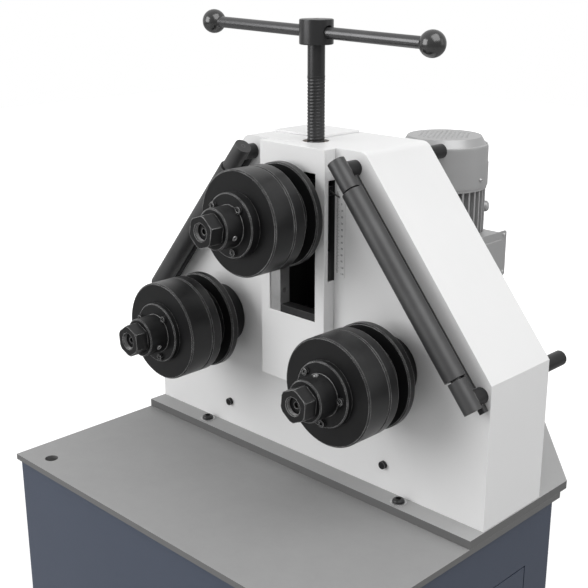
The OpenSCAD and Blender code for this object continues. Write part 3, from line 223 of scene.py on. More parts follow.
# Lathe marks about an axis that runs front to back: rings on a face, rings round a barrel
def makeTurning():
    tree, start, end = newGroup(
        "turningMarks",
        [("Centre", "NodeSocketVector", None), ("Pitch", "NodeSocketFloat", 900.0)],
        [("Height", "NodeSocketFloat"), ("Value", "NodeSocketFloat")],
    )
    where = addNode(tree, "ShaderNodeTexCoord")
    away = addNode(tree, "ShaderNodeVectorMath", operation="SUBTRACT")
    link(tree, where.outputs["Object"], away.inputs[0])
    link(tree, start.outputs["Centre"], away.inputs[1])
    parts = addNode(tree, "ShaderNodeSeparateXYZ")
    link(tree, away.outputs[0], parts.inputs[0])
    sideSquare = combine(tree, "MULTIPLY", parts.outputs["X"], parts.outputs["X"])
    upSquare = combine(tree, "MULTIPLY", parts.outputs["Z"], parts.outputs["Z"])
    radius = combine(tree, "SQRT", combine(tree, "ADD", sideSquare, upSquare), 0.0)
    along = combine(tree, "ADD", radius, combine(tree, "MULTIPLY", parts.outputs["Y"], 0.9))
    lines = addNode(tree, "ShaderNodeTexNoise", noise_dimensions="1D")
    lines.inputs["Detail"].default_value = 3
    link(tree, along, lines.inputs["W"])
    link(tree, start.outputs["Pitch"], lines.inputs["Scale"])
    link(tree, lines.outputs["Fac"], end.inputs["Height"])
    link(tree, lines.outputs["Fac"], end.inputs["Value"])
    return tree


# Dust that settles on what faces up
def makeDust():
    tree, start, end = newGroup(
        "settledDust",
        [("Scale", "NodeSocketFloat", 30.0), ("Amount", "NodeSocketFloat", 0.1)],
        [("Mask", "NodeSocketFloat")],
    )
    flat = addNode(tree, "ShaderNodeNewGeometry")
    parts = addNode(tree, "ShaderNodeSeparateXYZ")
    link(tree, flat.outputs["Normal"], parts.inputs[0])
    up = scaleRange(tree, parts.outputs["Z"], 0.3, 1.0, 0.0, 1.0)
    where = addNode(tree, "ShaderNodeTexCoord")
    noise = addNode(tree, "ShaderNodeTexNoise")
    noise.inputs["Detail"].default_value = 6
    noise.inputs["Roughness"].default_value = 0.7
    link(tree, where.outputs["Object"], noise.inputs["Vector"])
    link(tree, start.outputs["Scale"], noise.inputs["Scale"])
    cloud = scaleRange(tree, noise.outputs["Fac"], 0.35, 0.75, 0.0, 1.0)
    mask = combine(tree, "MULTIPLY", combine(tree, "MULTIPLY", up, cloud), start.outputs["Amount"])
    link(tree, mask, end.inputs["Mask"])
    return tree


edgeWearAndHighlight = makeEdgeWear()
slowShade = makeShade()
fineSkin = makeSkin()
turningMarks = makeTurning()
settledDust = makeDust()
print("shader groups made")


# Materials

def startMaterial(name):
    material = bpy.data.materials.new(name)
    material.use_nodes = True
    tree = material.node_tree
    return material, tree, tree.nodes["Principled BSDF"]


paintBase = {
    "metal": 0.0, "specular": 0.5, "cloudScale": 2.5, "low": 0.96, "high": 1.0,
    "edge": 0.3, "edgeRadius": 0.0012, "edgePatches": 55.0, "edgeColour": (0.8, 0.8, 0.8),
    "dust": 0.06, "dustScale": 28.0, "dustColour": (0.6, 0.6, 0.6),
    "grainScale": 420.0, "fine": 0.3, "bump": 0.12, "depth": 0.0002, "smoother": 0.04, "rougher": 0.05,
}
steelBase = {
    "metal": 0.6, "specular": 0.5, "cloudScale": 14.0, "low": 0.75, "high": 1.1,
    "edge": 0.8, "edgeRadius": 0.0012, "edgePatches": 70.0, "edgeColour": (0.35, 0.35, 0.36),
    "dust": 0.05, "dustScale": 45.0, "dustColour": (0.3, 0.3, 0.3), "pitch": 1400.0,
    "grainScale": 900.0, "fine": 0.5, "bump": 0.2, "depth": 0.0001, "smoother": 0.05, "rougher": 0.06,
}


# Base shade with slow clouds, rubbed edges that are partly painted highlight, and settled dust
def wornColourAndHighlight(tree, s):
    shade = useGroup(tree, slowShade, Scale=s["cloudScale"], Low=s["low"], High=s["high"])
    tint = addNode(tree, "ShaderNodeMix", data_type="RGBA", blend_type="MULTIPLY")
    tint.inputs["Factor"].default_value = 1
    tint.inputs[6].default_value = (*s["colour"], 1)
    link(tree, shade.outputs["Value"], tint.inputs[7])
    wearAndHighlight = useGroup(tree, edgeWearAndHighlight, Radius=s["edgeRadius"], Reach=s["edge"], Patches=s["edgePatches"])
    colour = mixColour(tree, wearAndHighlight.outputs["Mask"], tint.outputs[2], s["edgeColour"])
    dust = useGroup(tree, settledDust, Scale=s["dustScale"], Amount=s["dust"])
    return mixColour(tree, dust.outputs["Mask"], colour, s["dustColour"])


# Roughness and relief follow the same fine marks
def setSurface(tree, surface, marks, s):
    rough = scaleRange(tree, marks.outputs["Value"], 0.3, 0.7, s["rough"] - s["smoother"], s["rough"] + s["rougher"])
    link(tree, rough, surface.inputs["Roughness"])
    bump = addNode(tree, "ShaderNodeBump")
    bump.inputs["Strength"].default_value = s["bump"]
    bump.inputs["Distance"].default_value = s["depth"]
    link(tree, marks.outputs["Height"], bump.inputs["Height"])
    link(tree, bump.outputs["Normal"], surface.inputs["Normal"])
    surface.inputs["Metallic"].default_value = s["metal"]
    surface.inputs["Specular IOR Level"].default_value = s["specular"]


# How far a face looks along an axis, whichever way: 1 where it faces along it
def facingAlong(tree, axis):
    flat = addNode(tree, "ShaderNodeNewGeometry")
    parts = addNode(tree, "ShaderNodeSeparateXYZ")
    link(tree, flat.outputs["Normal"], parts.inputs[0])
    return combine(tree, "ABSOLUTE", parts.outputs[axis], 0.0)


# Sprayed paint over sheet or cast metal
def paint(name, changes):
    s = {**paintBase, **changes}
    material, tree, surface = startMaterial(name)
    colour = wornColourAndHighlight(tree, s)
    if "paintedSideShade" in s:
        # Upright faces are painted darker than the level faces: painted shade
        level = scaleRange(tree, facingAlong(tree, "Z"), 0.3, 0.9, 0.0, 1.0)
        colour = mixColour(tree, level, [value * s["paintedSideShade"] for value in s["colour"]], colour)
    link(tree, colour, surface.inputs["Base Color"])
    setSurface(tree, surface, useGroup(tree, fineSkin, Scale=s["grainScale"], Fine=s["fine"]), s)
    return material


# Machined steel: lathe marks round a centre, or a plain fine grain
def steel(name, changes):
    s = {**steelBase, **changes}
    material, tree, surface = startMaterial(name)
    link(tree, wornColourAndHighlight(tree, s), surface.inputs["Base Color"])
    if "centre" in s:
        marks = useGroup(tree, turningMarks, Centre=s["centre"], Pitch=s["pitch"])
    else:
        marks = useGroup(tree, fineSkin, Scale=s["grainScale"], Fine=s["fine"])
    setSurface(tree, surface, marks, s)
    if "barrelCoat" in s:
        # Turned barrels keep more sheen than faced ends
        sheen = scaleRange(tree, facingAlong(tree, "Y"), 0.6, 1.0, s["barrelCoat"], 0.0)
        link(tree, sheen, surface.inputs["Coat Weight"])
        surface.inputs["Coat Roughness"].default_value = s["rough"]
    return material


finishes = {
    "stand_paint": paint("standPaint", {"colour": (0.056, 0.070, 0.104), "rough": 0.42, "edge": 0.25,
                                        "edgeColour": (0.20, 0.22, 0.27), "bump": 0.16, "low": 0.92,
                                        "specular": 0.35}),
    "plate_paint": paint("platePaint", {"colour": (0.285, 0.285, 0.285), "rough": 0.5, "edge": 0.3, "specular": 0.3,
                                        "edgeColour": (0.45, 0.45, 0.45), "bump": 0.1, "low": 0.97, "dust": 0.05,
                                        "paintedSideShade": 0.5}),
    "housing_white": paint("housingPaint", {"colour": (0.80, 0.80, 0.80), "rough": 0.34, "edge": 0.2,
                                            "edgeColour": (0.95, 0.95, 0.95), "dust": 0.03}),
    "black_steel": steel("blackOxide", {"colour": (0.016, 0.016, 0.017), "rough": 0.36, "metal": 0.3,
                                        "specular": 0.3}),
    "ground_steel": steel("groundSteel", {"colour": (0.52, 0.52, 0.53), "rough": 0.28, "metal": 1.0,
                                          "edgeColour": (0.75, 0.75, 0.76)}),
    "black_ball": steel("ballPlastic", {"colour": (0.012, 0.012, 0.012), "rough": 0.2, "metal": 0.0, "edge": 0.1,
                                        "bump": 0.02, "low": 0.95, "specular": 1.0}),
    # Bright edges on the motor's cover and lid: partly rubbed paint, partly painted highlight
    "motor_paint": paint("motorPaint", {"colour": (0.40, 0.40, 0.402), "rough": 0.38, "metal": 0.35, "edge": 0.6,
                                        "edgeColour": (0.7, 0.7, 0.7), "grainScale": 700.0, "bump": 0.3}),
    "bronze": steel("bronze", {"colour": (0.45, 0.27, 0.11), "rough": 0.35, "metal": 1.0,
                               "edgeColour": (0.7, 0.5, 0.28)}),
    "scale_face": paint("scaleFace", {"colour": (0.62, 0.62, 0.61), "rough": 0.4, "metal": 0.3, "edge": 0.2}),
    "fan_plastic": paint("fanPlastic", {"colour": (0.02, 0.02, 0.02), "rough": 0.45, "edge": 0.2}),
}
print("materials made:", len(finishes))


# Carried-over solids

slots = {row["node"]: row["material_slot"] for row in frame["record"]["subparts"]}
bevelWidths = {
    "top_cover": 0.8, "slide_box": 1.5, "base_plate": 1.0, "table_plate": 1.0, "left_panel": 1.0, "right_panel": 1.0,
    "front_panel": 1.0, "rear_panel": 1.0, "door": 1.0, "foot_frame": 1.2,
}
setPlaces = {"top": (0.0, 425.0), "left": (-189.0, 210.0), "right": (189.0, 210.0)}
baseTop = 664.0


def setCentre(side):
    x, z = setPlaces[side]
    return x * mm, 0.0, (baseTop + z) * mm


# Each roll set has its own lathe marks, centred on its axis
for side in setPlaces:
    # Bright edges on rolls, hubs and nuts: partly worn steel, partly painted highlight on the chamfers
    finishes[side + "Roll"] = steel(side + "RollSteel", {
        "colour": (0.0085, 0.0085, 0.009), "rough": 0.38, "metal": 0.05, "specular": 0.22, "edge": 1.0,
        "edgeColour": (0.42, 0.42, 0.42), "edgeRadius": 0.0017, "barrelCoat": 0.4, "bump": 0.3,
        "centre": setCentre(side)})
finishes["oiledSteel"] = steel("oiledSteel", {"colour": (0.035, 0.035, 0.036), "rough": 0.42, "metal": 0.4,
                                              "edgeColour": (0.16, 0.16, 0.16), "edge": 0.6})
finishes["barSteel"] = steel("barSteel", {"colour": (0.07, 0.07, 0.071), "rough": 0.44, "metal": 0.55,
                                          "bump": 0.1, "edge": 0.5, "edgeColour": (0.22, 0.22, 0.22),
                                          "low": 0.85})
finishes["handleSteel"] = steel("handleSteel", {"colour": (0.11, 0.11, 0.112), "rough": 0.28, "metal": 0.85,
                                                "bump": 0.1, "edge": 0.3, "low": 0.9})
finishes["screwSteel"] = steel("screwSteel", {"colour": (0.036, 0.036, 0.037), "rough": 0.3, "metal": 0.5,
                                              "edge": 0.12, "edgeColour": (0.3, 0.3, 0.3), "low": 0.85})
finishes["studSteel"] = steel("studSteel", {"colour": (0.014, 0.014, 0.0145), "rough": 0.36, "metal": 0.1,
                                            "specular": 0.35, "edge": 0.8, "edgeColour": (0.25, 0.25, 0.25)})
# The base plate has the table's grey painted lighter, to make up for the shade that the housing and rolls cast on it:
# painted light
finishes["basePaintedLight"] = paint("basePaintedLight", {"colour": (0.37, 0.37, 0.37), "rough": 0.5, "edge": 0.3, "specular": 0.3,
                                            "edgeColour": (0.5, 0.5, 0.5), "bump": 0.1, "low": 0.97, "dust": 0.05,
                                            "paintedSideShade": 0.36})
finishes["keeperSteel"] = steel("keeperSteel", {"colour": (0.55, 0.55, 0.55), "rough": 0.36, "metal": 0.5,
                                                "bump": 0.2, "low": 0.7, "edgeColour": (0.5, 0.5, 0.5)})
finishes["zincSteel"] = steel("zincSteel", {"colour": (0.58, 0.58, 0.58), "rough": 0.28, "metal": 0.8,
                                            "edgeColour": (0.8, 0.8, 0.8)})
finishes["scaleInk"] = paint("scaleInk", {"colour": (0.03, 0.03, 0.03), "rough": 0.5, "edge": 0.0, "dust": 0.0})
special = {
    "slide": "oiledSteel", "slide_guides": "oiledSteel", "cross_bar": "oiledSteel", "nut_block": "oiledSteel",
    "keepers": "keeperSteel", "scale_plate": "housing_white", "left_sleeve": "barSteel", "right_sleeve": "barSteel",
    "guide_holders": "barSteel", "tommy_bar": "handleSteel", "guide_studs": "studSteel", "base_plate": "basePaintedLight",
}
for side in setPlaces:
    for part in ("rolls", "rear_disc", "hub", "nut", "shaft"):
        special["%s_%s" % (side, part)] = side + "Roll"


# Sharp edges are worked out after the bevel, from the angle between faces
def makeCreaseTool(angle):
    tree = bpy.data.node_groups.new("creaseByAngle", "GeometryNodeTree")
    tree.interface.new_socket(name="Geometry", in_out="INPUT", socket_type="NodeSocketGeometry")
    tree.interface.new_socket(name="Geometry", in_out="OUTPUT", socket_type="NodeSocketGeometry")
    start, end = addNode(tree, "NodeGroupInput"), addNode(tree, "NodeGroupOutput")
    between = addNode(tree, "GeometryNodeInputMeshEdgeAngle")
    sharp = addNode(tree, "FunctionNodeCompare", data_type="FLOAT", operation="GREATER_THAN")
    link(tree, between.outputs["Unsigned Angle"], sharp.inputs[0])
    sharp.inputs[1].default_value = math.radians(angle)
    faces = addNode(tree, "GeometryNodeSetShadeSmooth", domain="FACE")
    edges = addNode(tree, "GeometryNodeSetShadeSmooth", domain="EDGE")
    edges.inputs["Shade Smooth"].default_value = False
    link(tree, start.outputs[0], faces.inputs["Geometry"])
    link(tree, faces.outputs["Geometry"], edges.inputs["Geometry"])
    link(tree, sharp.outputs[0], edges.inputs["Selection"])
    link(tree, edges.outputs["Geometry"], end.inputs[0])
    return tree


creaseTool = makeCreaseTool(36)


def roundEdges(piece, width, segments=2, flatten=True):
    weld = piece.modifiers.new("weld", "WELD")
    weld.merge_threshold = 0.00001
    if flatten:
        plane = piece.modifiers.new("oneFace", "DECIMATE")
        plane.decimate_type = "DISSOLVE"
        plane.angle_limit = math.radians(0.3)
    if width > 0:
        bevel = piece.modifiers.new("edgeBreak", "BEVEL")
        bevel.width = width * mm
        bevel.segments = segments
        bevel.limit_method = "ANGLE"
        bevel.angle_limit = math.radians(32)
        bevel.use_clamp_overlap = True
    crease = piece.modifiers.new("crease", "NODES")
    crease.node_group = creaseTool
    weights = piece.modifiers.new("flatFaces", "WEIGHTED_NORMAL")
    weights.keep_sharp = True
    weights.weight = 80


# Mesh helpers: shapes are drawn in millimetres, heights above the base plate's top

facing = Matrix.Rotation(math.pi / 2, 4, "X")        # local +Z looks out of the front
toRight = Matrix.Rotation(math.pi / 2, 4, "Y")       # local +Z looks to the right


def spot(x, y, z, turn=None, spin=0.0):
    place = Matrix.Translation((x, y, baseTop + z))
    if turn is not None:
        place = place @ turn
    return place @ Matrix.Rotation(math.radians(spin), 4, "Z")


def joinRings(shape, first, second):
    if len(first) == 1 and len(second) == 1:
        return
    count = max(len(first), len(second))
    for step in range(count):
        after = (step + 1) % count
        if len(first) == 1:
            shape.faces.new((first[0], second[after], second[step]))
        elif len(second) == 1:
            shape.faces.new((first[step], first[after], second[0]))
        else:
            shape.faces.new((first[step], first[after], second[after], second[step]))


# Rings along local Z: each is (height, radius), where the radius may be a function of the angle
def addRings(shape, place, rings, steps=48, loop=False):
    made = []
    for height, radius in rings:
        if not callable(radius) and radius == 0:
            made.append([shape.verts.new(place @ Vector((0, 0, height)))])
            continue
        ring = []
        for step in range(steps):
            angle = 2 * math.pi * step / steps
            reach = radius(angle) if callable(radius) else radius
            ring.append(shape.verts.new(place @ Vector((reach * math.cos(angle), reach * math.sin(angle), height))))
        made.append(ring)
    for first, second in zip(made, made[1:]):
        joinRings(shape, first, second)
    if loop:
        joinRings(shape, made[-1], made[0])


def hexReach(flats, least=None):
    def reach(angle):
        turn = (angle + math.pi / 6) % (math.pi / 3) - math.pi / 6
        full = flats / 2 / math.cos(turn)
        return full if least is None else min(full, least)
    return reach


def addBox(shape, low, high):
    corners = [shape.verts.new((x, y, baseTop + z)) for z in (low[2], high[2])
               for x, y in ((low[0], low[1]), (high[0], low[1]), (high[0], high[1]), (low[0], high[1]))]
    for face in ((0, 3, 2, 1), (4, 5, 6, 7), (0, 1, 5, 4), (1, 2, 6, 5), (2, 3, 7, 6), (3, 0, 4, 7)):
        shape.faces.new([corners[index] for index in face])


def addPiece(name, shape, finish, body, stands=(), bevel=0.0):
    bmesh.ops.recalc_face_normals(shape, faces=shape.faces[:])
    bmesh.ops.scale(shape, vec=(mm, mm, mm), verts=shape.verts[:])
    mesh = bpy.data.meshes.new(name)
    shape.to_mesh(mesh)
    shape.free()
    return addObject(name, mesh, finish, body, stands, bevel)


def addObject(name, mesh, finish, body, stands=(), bevel=0.0):
    piece = bpy.data.objects.new(name, mesh)
    bpy.context.scene.collection.objects.link(piece)
    mesh.materials.clear()
    mesh.materials.append(finishes[finish])
    roundEdges(piece, bevel, flatten=False)
    if stands:
        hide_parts(*stands)
    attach(piece, body)
    return piece


# A solid that only serves a cut
def looseObject(name, shape):
    bmesh.ops.recalc_face_normals(shape, faces=shape.faces[:])
    mesh = bpy.data.meshes.new(name)
    shape.to_mesh(mesh)
    shape.free()
    piece = bpy.data.objects.new(name, mesh)
    bpy.context.scene.collection.objects.link(piece)
    return piece


# A cap screw or set screw with its hexagon socket
def addSocketScrew(shape, place, s):
    radius, height, flats, depth, edge = s["radius"], s["height"], s["flats"], s["depth"], s["edge"]
    addRings(shape, place, [
        (-0.5, 0), (-0.5, radius), (height - edge, radius), (height - edge * 0.3, radius - edge * 0.3),
        (height, radius - edge), (height, hexReach(flats + 0.6)), (height - 0.4, hexReach(flats)),
        (height - depth, hexReach(flats)), (height - depth - flats * 0.15, 0)], 24)


# A screw head with a cross slot pressed in, and its washer
def addPanScrew(shape, place, radius, height):
    def cross(angle):
        turn = angle % (math.pi / 2)
        near = min(turn, math.pi / 2 - turn)
        return radius * (0.52 if near < 0.2 else 0.16)
    addRings(shape, place, [
        (0, 0), (0, radius * 1.25), (height * 0.18, radius * 1.25), (height * 0.2, radius),
        (height * 0.6, radius * 0.94),
        (height * 0.9, radius * 0.75), (height, radius * 0.56), (height, cross), (height * 0.5, cross),
        (height * 0.45, 0)], 32)


# Housing: one welded and filled body, with no seam between the plates and the wrap

def weldedCopy(name):
    source = nodes[name]
    shape = bmesh.new()
    shape.from_mesh(source.data)
    bmesh.ops.transform(shape, matrix=source.matrix_world, verts=shape.verts[:])
    bmesh.ops.remove_doubles(shape, verts=shape.verts[:], dist=0.00001)
    mesh = bpy.data.meshes.new(name + "Welded")
    shape.to_mesh(mesh)
    shape.free()
    copy = bpy.data.objects.new(name + "Welded", mesh)
    bpy.context.scene.collection.objects.link(copy)
    return copy


def addHousing():
    copies = [weldedCopy(name) for name in ("front_plate", "housing_wrap", "rear_plate")]
    for other in copies[1:]:
        union = copies[0].modifiers.new(other.name, "BOOLEAN")
        union.operation = "UNION"
        union.solver = "EXACT"
        union.object = other
    flat = copies[0].modifiers.new("oneFace", "DECIMATE")
    flat.decimate_type = "DISSOLVE"
    flat.angle_limit = math.radians(0.5)
    depsgraph = bpy.context.evaluated_depsgraph_get()
    mesh = bpy.data.meshes.new_from_object(copies[0].evaluated_get(depsgraph))
    mesh.name = "housingBody"
    for copy in copies:
        bpy.data.objects.remove(copy, do_unlink=True)
    piece = addObject("housingBody", mesh, "housing_white", "machine",
                      ("front_plate", "housing_wrap", "rear_plate"), 2.2)
    piece.modifiers["edgeBreak"].segments = 3
    piece.modifiers["edgeBreak"].angle_limit = math.radians(38)


addHousing()
print("housing made")


# Roll sets: nuts, hub screws

rollSettings = {
    # front plane of the nut and of the sleeve, flange plane, corner angle of the nut, then the screws
    "top": {"nut": -211.0, "sleeve": -187.5, "flange": -155.0, "corner": 19.0,
            "caps": [(36.0, 50.0), (40.0, -76.0), (42.5, 142.0)], "set": (-171.0, -20.0)},
    "right": {"nut": -212.0, "sleeve": -189.0, "flange": -154.0, "corner": 24.0,
              "caps": [(38.0, 2.0), (42.5, -86.0), (42.0, 138.0)], "set": (-163.0, 95.0)},
    "left": {"nut": -212.0, "sleeve": -189.0, "flange": -154.0, "corner": 36.0,
             "caps": [(37.0, 52.0), (41.0, -76.0), (42.5, 156.0)], "set": (-171.0, -26.0)},
}
bodyOf = {"top": "top_roll", "left": "left_roll", "right": "right_roll"}
nutSize = {"flats": 46.0, "bore": 25.0, "lip": 28.0, "edge": 2.0, "threadTurns": 6}
hubScrew = {"radius": 5.6, "height": 4.6, "flats": 5.0, "depth": 3.2, "edge": 0.6}
setScrew = {"radius": 4.2, "height": 1.6, "flats": 4.0, "depth": 1.4, "edge": 0.5, "fromAxis": 31.3}


def addNut(side, s):
    x, z = setPlaces[side]
    length = s["sleeve"] - s["nut"]
    shape = bmesh.new()
    flats, bore, lip = nutSize["flats"], nutSize["bore"] / 2, nutSize["lip"] / 2
    edge = nutSize["edge"]
    outer = [(0, hexReach(flats, flats / 2 * 1.1)), (edge, hexReach(flats)), (length - edge, hexReach(flats))]
    for share in (0.3, 0.65, 1.0):
        outer.append((length - edge * (1 - share), hexReach(flats, flats / 2 * (1.155 - 0.09 * share))))
    outer.append((length, hexReach(flats - 2.4, flats / 2 * 1.045)))
    inner = [(length, lip), (length - 0.4, lip - 0.35), (length - 1.6, bore)]
    # Thread turns show inside the bore
    for turn in range(nutSize["threadTurns"]):
        inner += [(length - 2.4 - turn, bore + 0.35), (length - 2.9 - turn, bore)]
    addRings(shape, spot(x, s["sleeve"], z, facing, s["corner"] - 30.0), outer + inner + [(0, bore)], 72, loop=True)
    addPiece(side + "NutTurned", shape, side + "Roll", bodyOf[side], (side + "_nut",))


def addHubScrews(side, s):
    x, z = setPlaces[side]
    shape = bmesh.new()
    for radius, angle in s["caps"]:
        turn = math.radians(angle)
        place = spot(x + radius * math.cos(turn), s["flange"], z + radius * math.sin(turn), facing, angle)
        addSocketScrew(shape, place, hubScrew)
    addPiece(side + "HubScrews", shape, side + "Roll", bodyOf[side])
    shape = bmesh.new()
    along, angle = s["set"]
    turn = Matrix.Rotation(math.radians(-angle), 4, "Y") @ toRight
    place = Matrix.Translation((x, along, baseTop + z)) @ turn @ Matrix.Translation((0, 0, setScrew["fromAxis"]))
    addSocketScrew(shape, place, setScrew)
    addPiece(side + "SetScrew", shape, "zincSteel", bodyOf[side])


for side, values in rollSettings.items():
    addNut(side, values)
    addHubScrews(side, values)
print("roll sets made")


# Press screw with its thread

screwSettings = {
    "y": 31.0, "radius": 14.0, "pitch": 5.0, "depth": 0.7, "grooveHalf": 0.38, "grooveSlope": 1.25, "steps": 48,
    "rows": 6, "threadTop": 631.0, "threadLap": 8.0, "neckTop": 680.0, "neckRadius": 13.6, "footRadius": 22.0,
    "footHeight": 9.9, "rootRadius": 13.0, "headLow": 678.0, "headHigh": 716.0, "headRadius": 26.5, "headEdge": 2.0,
    "centreRadius": 5.0, "centreDepth": 4.0, "crossRadius": 10.3, "crossReach": 40.0,
}


def addThread(shape, place, low, high, s):
    steps, rows = s["steps"], s["rows"]
    count = int((high - low) / s["pitch"] * rows)
    rings = []
    for row in range(count + 1):
        height = low + (high - low) * row / count
        share = min(1.0, row / rows, (count - row) / rows)
        ring = []
        for step in range(steps):
            angle = 2 * math.pi * step / steps
            phase = (height / s["pitch"] - step / steps) % 1.0
            groove = max(0.0, 1.0 - abs(phase - 0.5) / s["grooveHalf"])
            reach = s["radius"] - s["depth"] * min(1.0, groove * s["grooveSlope"]) * share
            ring.append(shape.verts.new(place @ Vector((reach * math.cos(angle), reach * math.sin(angle), height))))
        rings.append(ring)
    for first, second in zip(rings, rings[1:]):
        joinRings(shape, first, second)
    for ring, height in ((rings[0], low), (rings[-1], high)):
        joinRings(shape, ring, [shape.verts.new(place @ Vector((0, 0, height)))])


# The screw's head with the hole that the tommy bar slides in
def addCrossHead(shape, place, s):
    low, high, radius, edge = s["headLow"], s["headHigh"], s["headRadius"], s["headEdge"]
    soft = edge * 0.3
    head, cutter = bmesh.new(), bmesh.new()
    addRings(head, place, [
        (low, 0), (low, radius - edge), (low + 0.5, radius - soft), (low + edge, radius),
        (high - edge, radius), (high - 0.5, radius - soft), (high, radius - edge), (high, s["centreRadius"]),
        (high - s["centreDepth"] + 0.5, 1.5), (high - s["centreDepth"], 0)], 96)
    across = spot(-s["crossReach"], s["y"], (low + high) / 2, toRight)
    addRings(cutter, across, [(0, 0), (0, s["crossRadius"]), (2 * s["crossReach"], s["crossRadius"]),
                              (2 * s["crossReach"], 0)], 64)
    work = [looseObject("screwHead", head), looseObject("crossHole", cutter)]
    cut = work[0].modifiers.new("crossHole", "BOOLEAN")
    cut.operation = "DIFFERENCE"
    cut.solver = "EXACT"
    cut.object = work[1]
    depsgraph = bpy.context.evaluated_depsgraph_get()
    shape.from_mesh(bpy.data.meshes.new_from_object(work[0].evaluated_get(depsgraph)))
    for piece in work:
        bpy.data.objects.remove(piece, do_unlink=True)


def addPressScrew(s):
    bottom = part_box("press_screw")[0][2] / mm - baseTop
    place = spot(0, s["y"], 0)
    shape = bmesh.new()
    foot = bottom + s["footHeight"]
    addRings(shape, place, [(bottom, 0), (bottom, s["footRadius"]), (foot, s["footRadius"]),
                            (foot, s["rootRadius"]), (bottom + 12, 0)], 64)
    addThread(shape, place, bottom + s["threadLap"], s["threadTop"], s)
    addRings(shape, place, [
        (s["threadTop"] - 1.5, 0), (s["threadTop"] - 1.5, s["neckRadius"] - 0.6),
        (s["threadTop"] + 1, s["neckRadius"]), (s["neckTop"], s["neckRadius"]), (s["neckTop"], 0)], 64)
    addCrossHead(shape, place, s)
    bmesh.ops.scale(shape, vec=(mm, mm, mm), verts=shape.verts[:])
    whole = bpy.data.meshes.new("pressScrewTurned")
    shape.to_mesh(whole)
    shape.free()
    addObject("pressScrewTurned", whole, "screwSteel", "screw", ("press_screw",))


addPressScrew(screwSettings)
print("press screw made")


# Travel scale: a graduation for each millimetre and plain numerals each ten

scaleSettings = {"left": 75.0, "bottom": 337.0, "top": 465.0, "plate": -1.0, "lengths": (3.2, 4.6, 6.2), "line": 0.32,
                 "numeralLeft": 84.0, "firstNumeral": 446.5, "numerals": 12, "numeralHeight": 4.2}


def addScale(s):
    shape = bmesh.new()
    for number in range(int(s["top"] - s["bottom"]) + 1):
        height = s["top"] - number
        kind = 2 if number % 10 == 0 else 1 if number % 5 == 0 else 0
        addBox(shape, (s["left"], s["plate"] - 0.06, height - s["line"] / 2),
               (s["left"] + s["lengths"][kind], s["plate"] + 0.05, height + s["line"] / 2))
    addPiece("scaleLines", shape, "scaleInk", "machine")
    depsgraph = bpy.context.evaluated_depsgraph_get()
    shape = bmesh.new()
    for number in range(s["numerals"]):
        curve = bpy.data.curves.new("numeral", "FONT")
        curve.body = str(number * 10)
        curve.size = s["numeralHeight"]
        curve.extrude = 0.05
        work = bpy.data.objects.new("numeral", curve)
        bpy.context.scene.collection.objects.link(work)
        depsgraph.update()
        flat = bpy.data.meshes.new_from_object(work.evaluated_get(bpy.context.evaluated_depsgraph_get()))
        flat.transform(Matrix.Translation((s["numeralLeft"], s["plate"] - 0.02,
                                           baseTop + s["firstNumeral"] - 10.0 * number - 1.5)) @ facing)
        shape.from_mesh(flat)
        bpy.data.objects.remove(work, do_unlink=True)
    bmesh.ops.scale(shape, vec=(mm, mm, mm), verts=shape.verts[:])
    mesh = bpy.data.meshes.new("scaleNumerals")
    shape.to_mesh(mesh)
    shape.free()
    addObject("scaleNumerals", mesh, "scaleInk", "machine")


addScale(scaleSettings)
print("scale made")


# Base bolts: low button heads on bright washers

boltSettings = {"places": [(-225, -17), (225, -17), (-225, 165), (225, 165)], "washer": 13.0, "washerHeight": 1.5,
                "head": 10.0, "headTop": 7.0, "flats": 9.0, "depth": 3.4, "shank": 6.0, "below": -34.0, "nut": 19.0}


def addBaseBolts(s):
    washers, heads = bmesh.new(), bmesh.new()
    for x, y in s["places"]:
        place = spot(x, y, 0)
        top = s["washerHeight"]
        addRings(washers, place, [(0, s["washer"] - 0.4), (0.4, s["washer"]), (top - 0.4, s["washer"]),
                                  (top, s["washer"] - 0.5), (top, s["shank"] + 0.5), (0, s["shank"] + 0.5)], 48, True)
        high, wide = s["headTop"], s["head"]
        addRings(heads, place, [
            (top, 0), (top, wide - 0.3), (top + 0.8, wide), (top + (high - top) * 0.55, wide * 0.95),
            (high - 0.9, wide * 0.84), (high - 0.2, wide * 0.70), (high, wide * 0.60), (high, hexReach(s["flats"])),
            (high - s["depth"], hexReach(s["flats"])), (high - s["depth"] - 1.2, 0)], 48)
        addRings(heads, place, [(top + 0.2, 0), (top + 0.2, s["shank"]), (s["below"] + 1, s["shank"]),
                                (s["below"], s["shank"] - 1), (s["below"], 0)], 24)
        addRings(heads, place, [(s["below"], 0), (s["below"], hexReach(s["nut"], s["nut"] / 2 * 1.06)),
                                (s["below"] + 1.2, hexReach(s["nut"])), (-24.0, hexReach(s["nut"])), (-24.0, 0)], 24)
    addPiece("baseBoltHeads", heads, "screwSteel", "machine", ("base_bolts",))
    addPiece("baseWashers", washers, "zincSteel", "machine")


addBaseBolts(boltSettings)
print("base bolts made")


# Guide bars: dark shallow discs in the ends of the end blocks, painted shade that stands for their centre holes

guideSettings = {"upper": (111.02, 505.34), "lower": (354.07, 211.97), "y": -32.0, "past": 16.5, "hole": 2.6}


def alongGuide(side, s):
    x1, z1 = s["upper"]
    x2, z2 = s["lower"]
    turn = math.pi - math.atan2(x2 - x1, z1 - z2)
    place = Matrix.Translation(((x1 + x2) / 2, s["y"], baseTop + (z1 + z2) / 2)) @ Matrix.Rotation(turn, 4, "Y")
    return Matrix.Scale(-1, 4, (1, 0, 0)) @ place if side < 0 else place


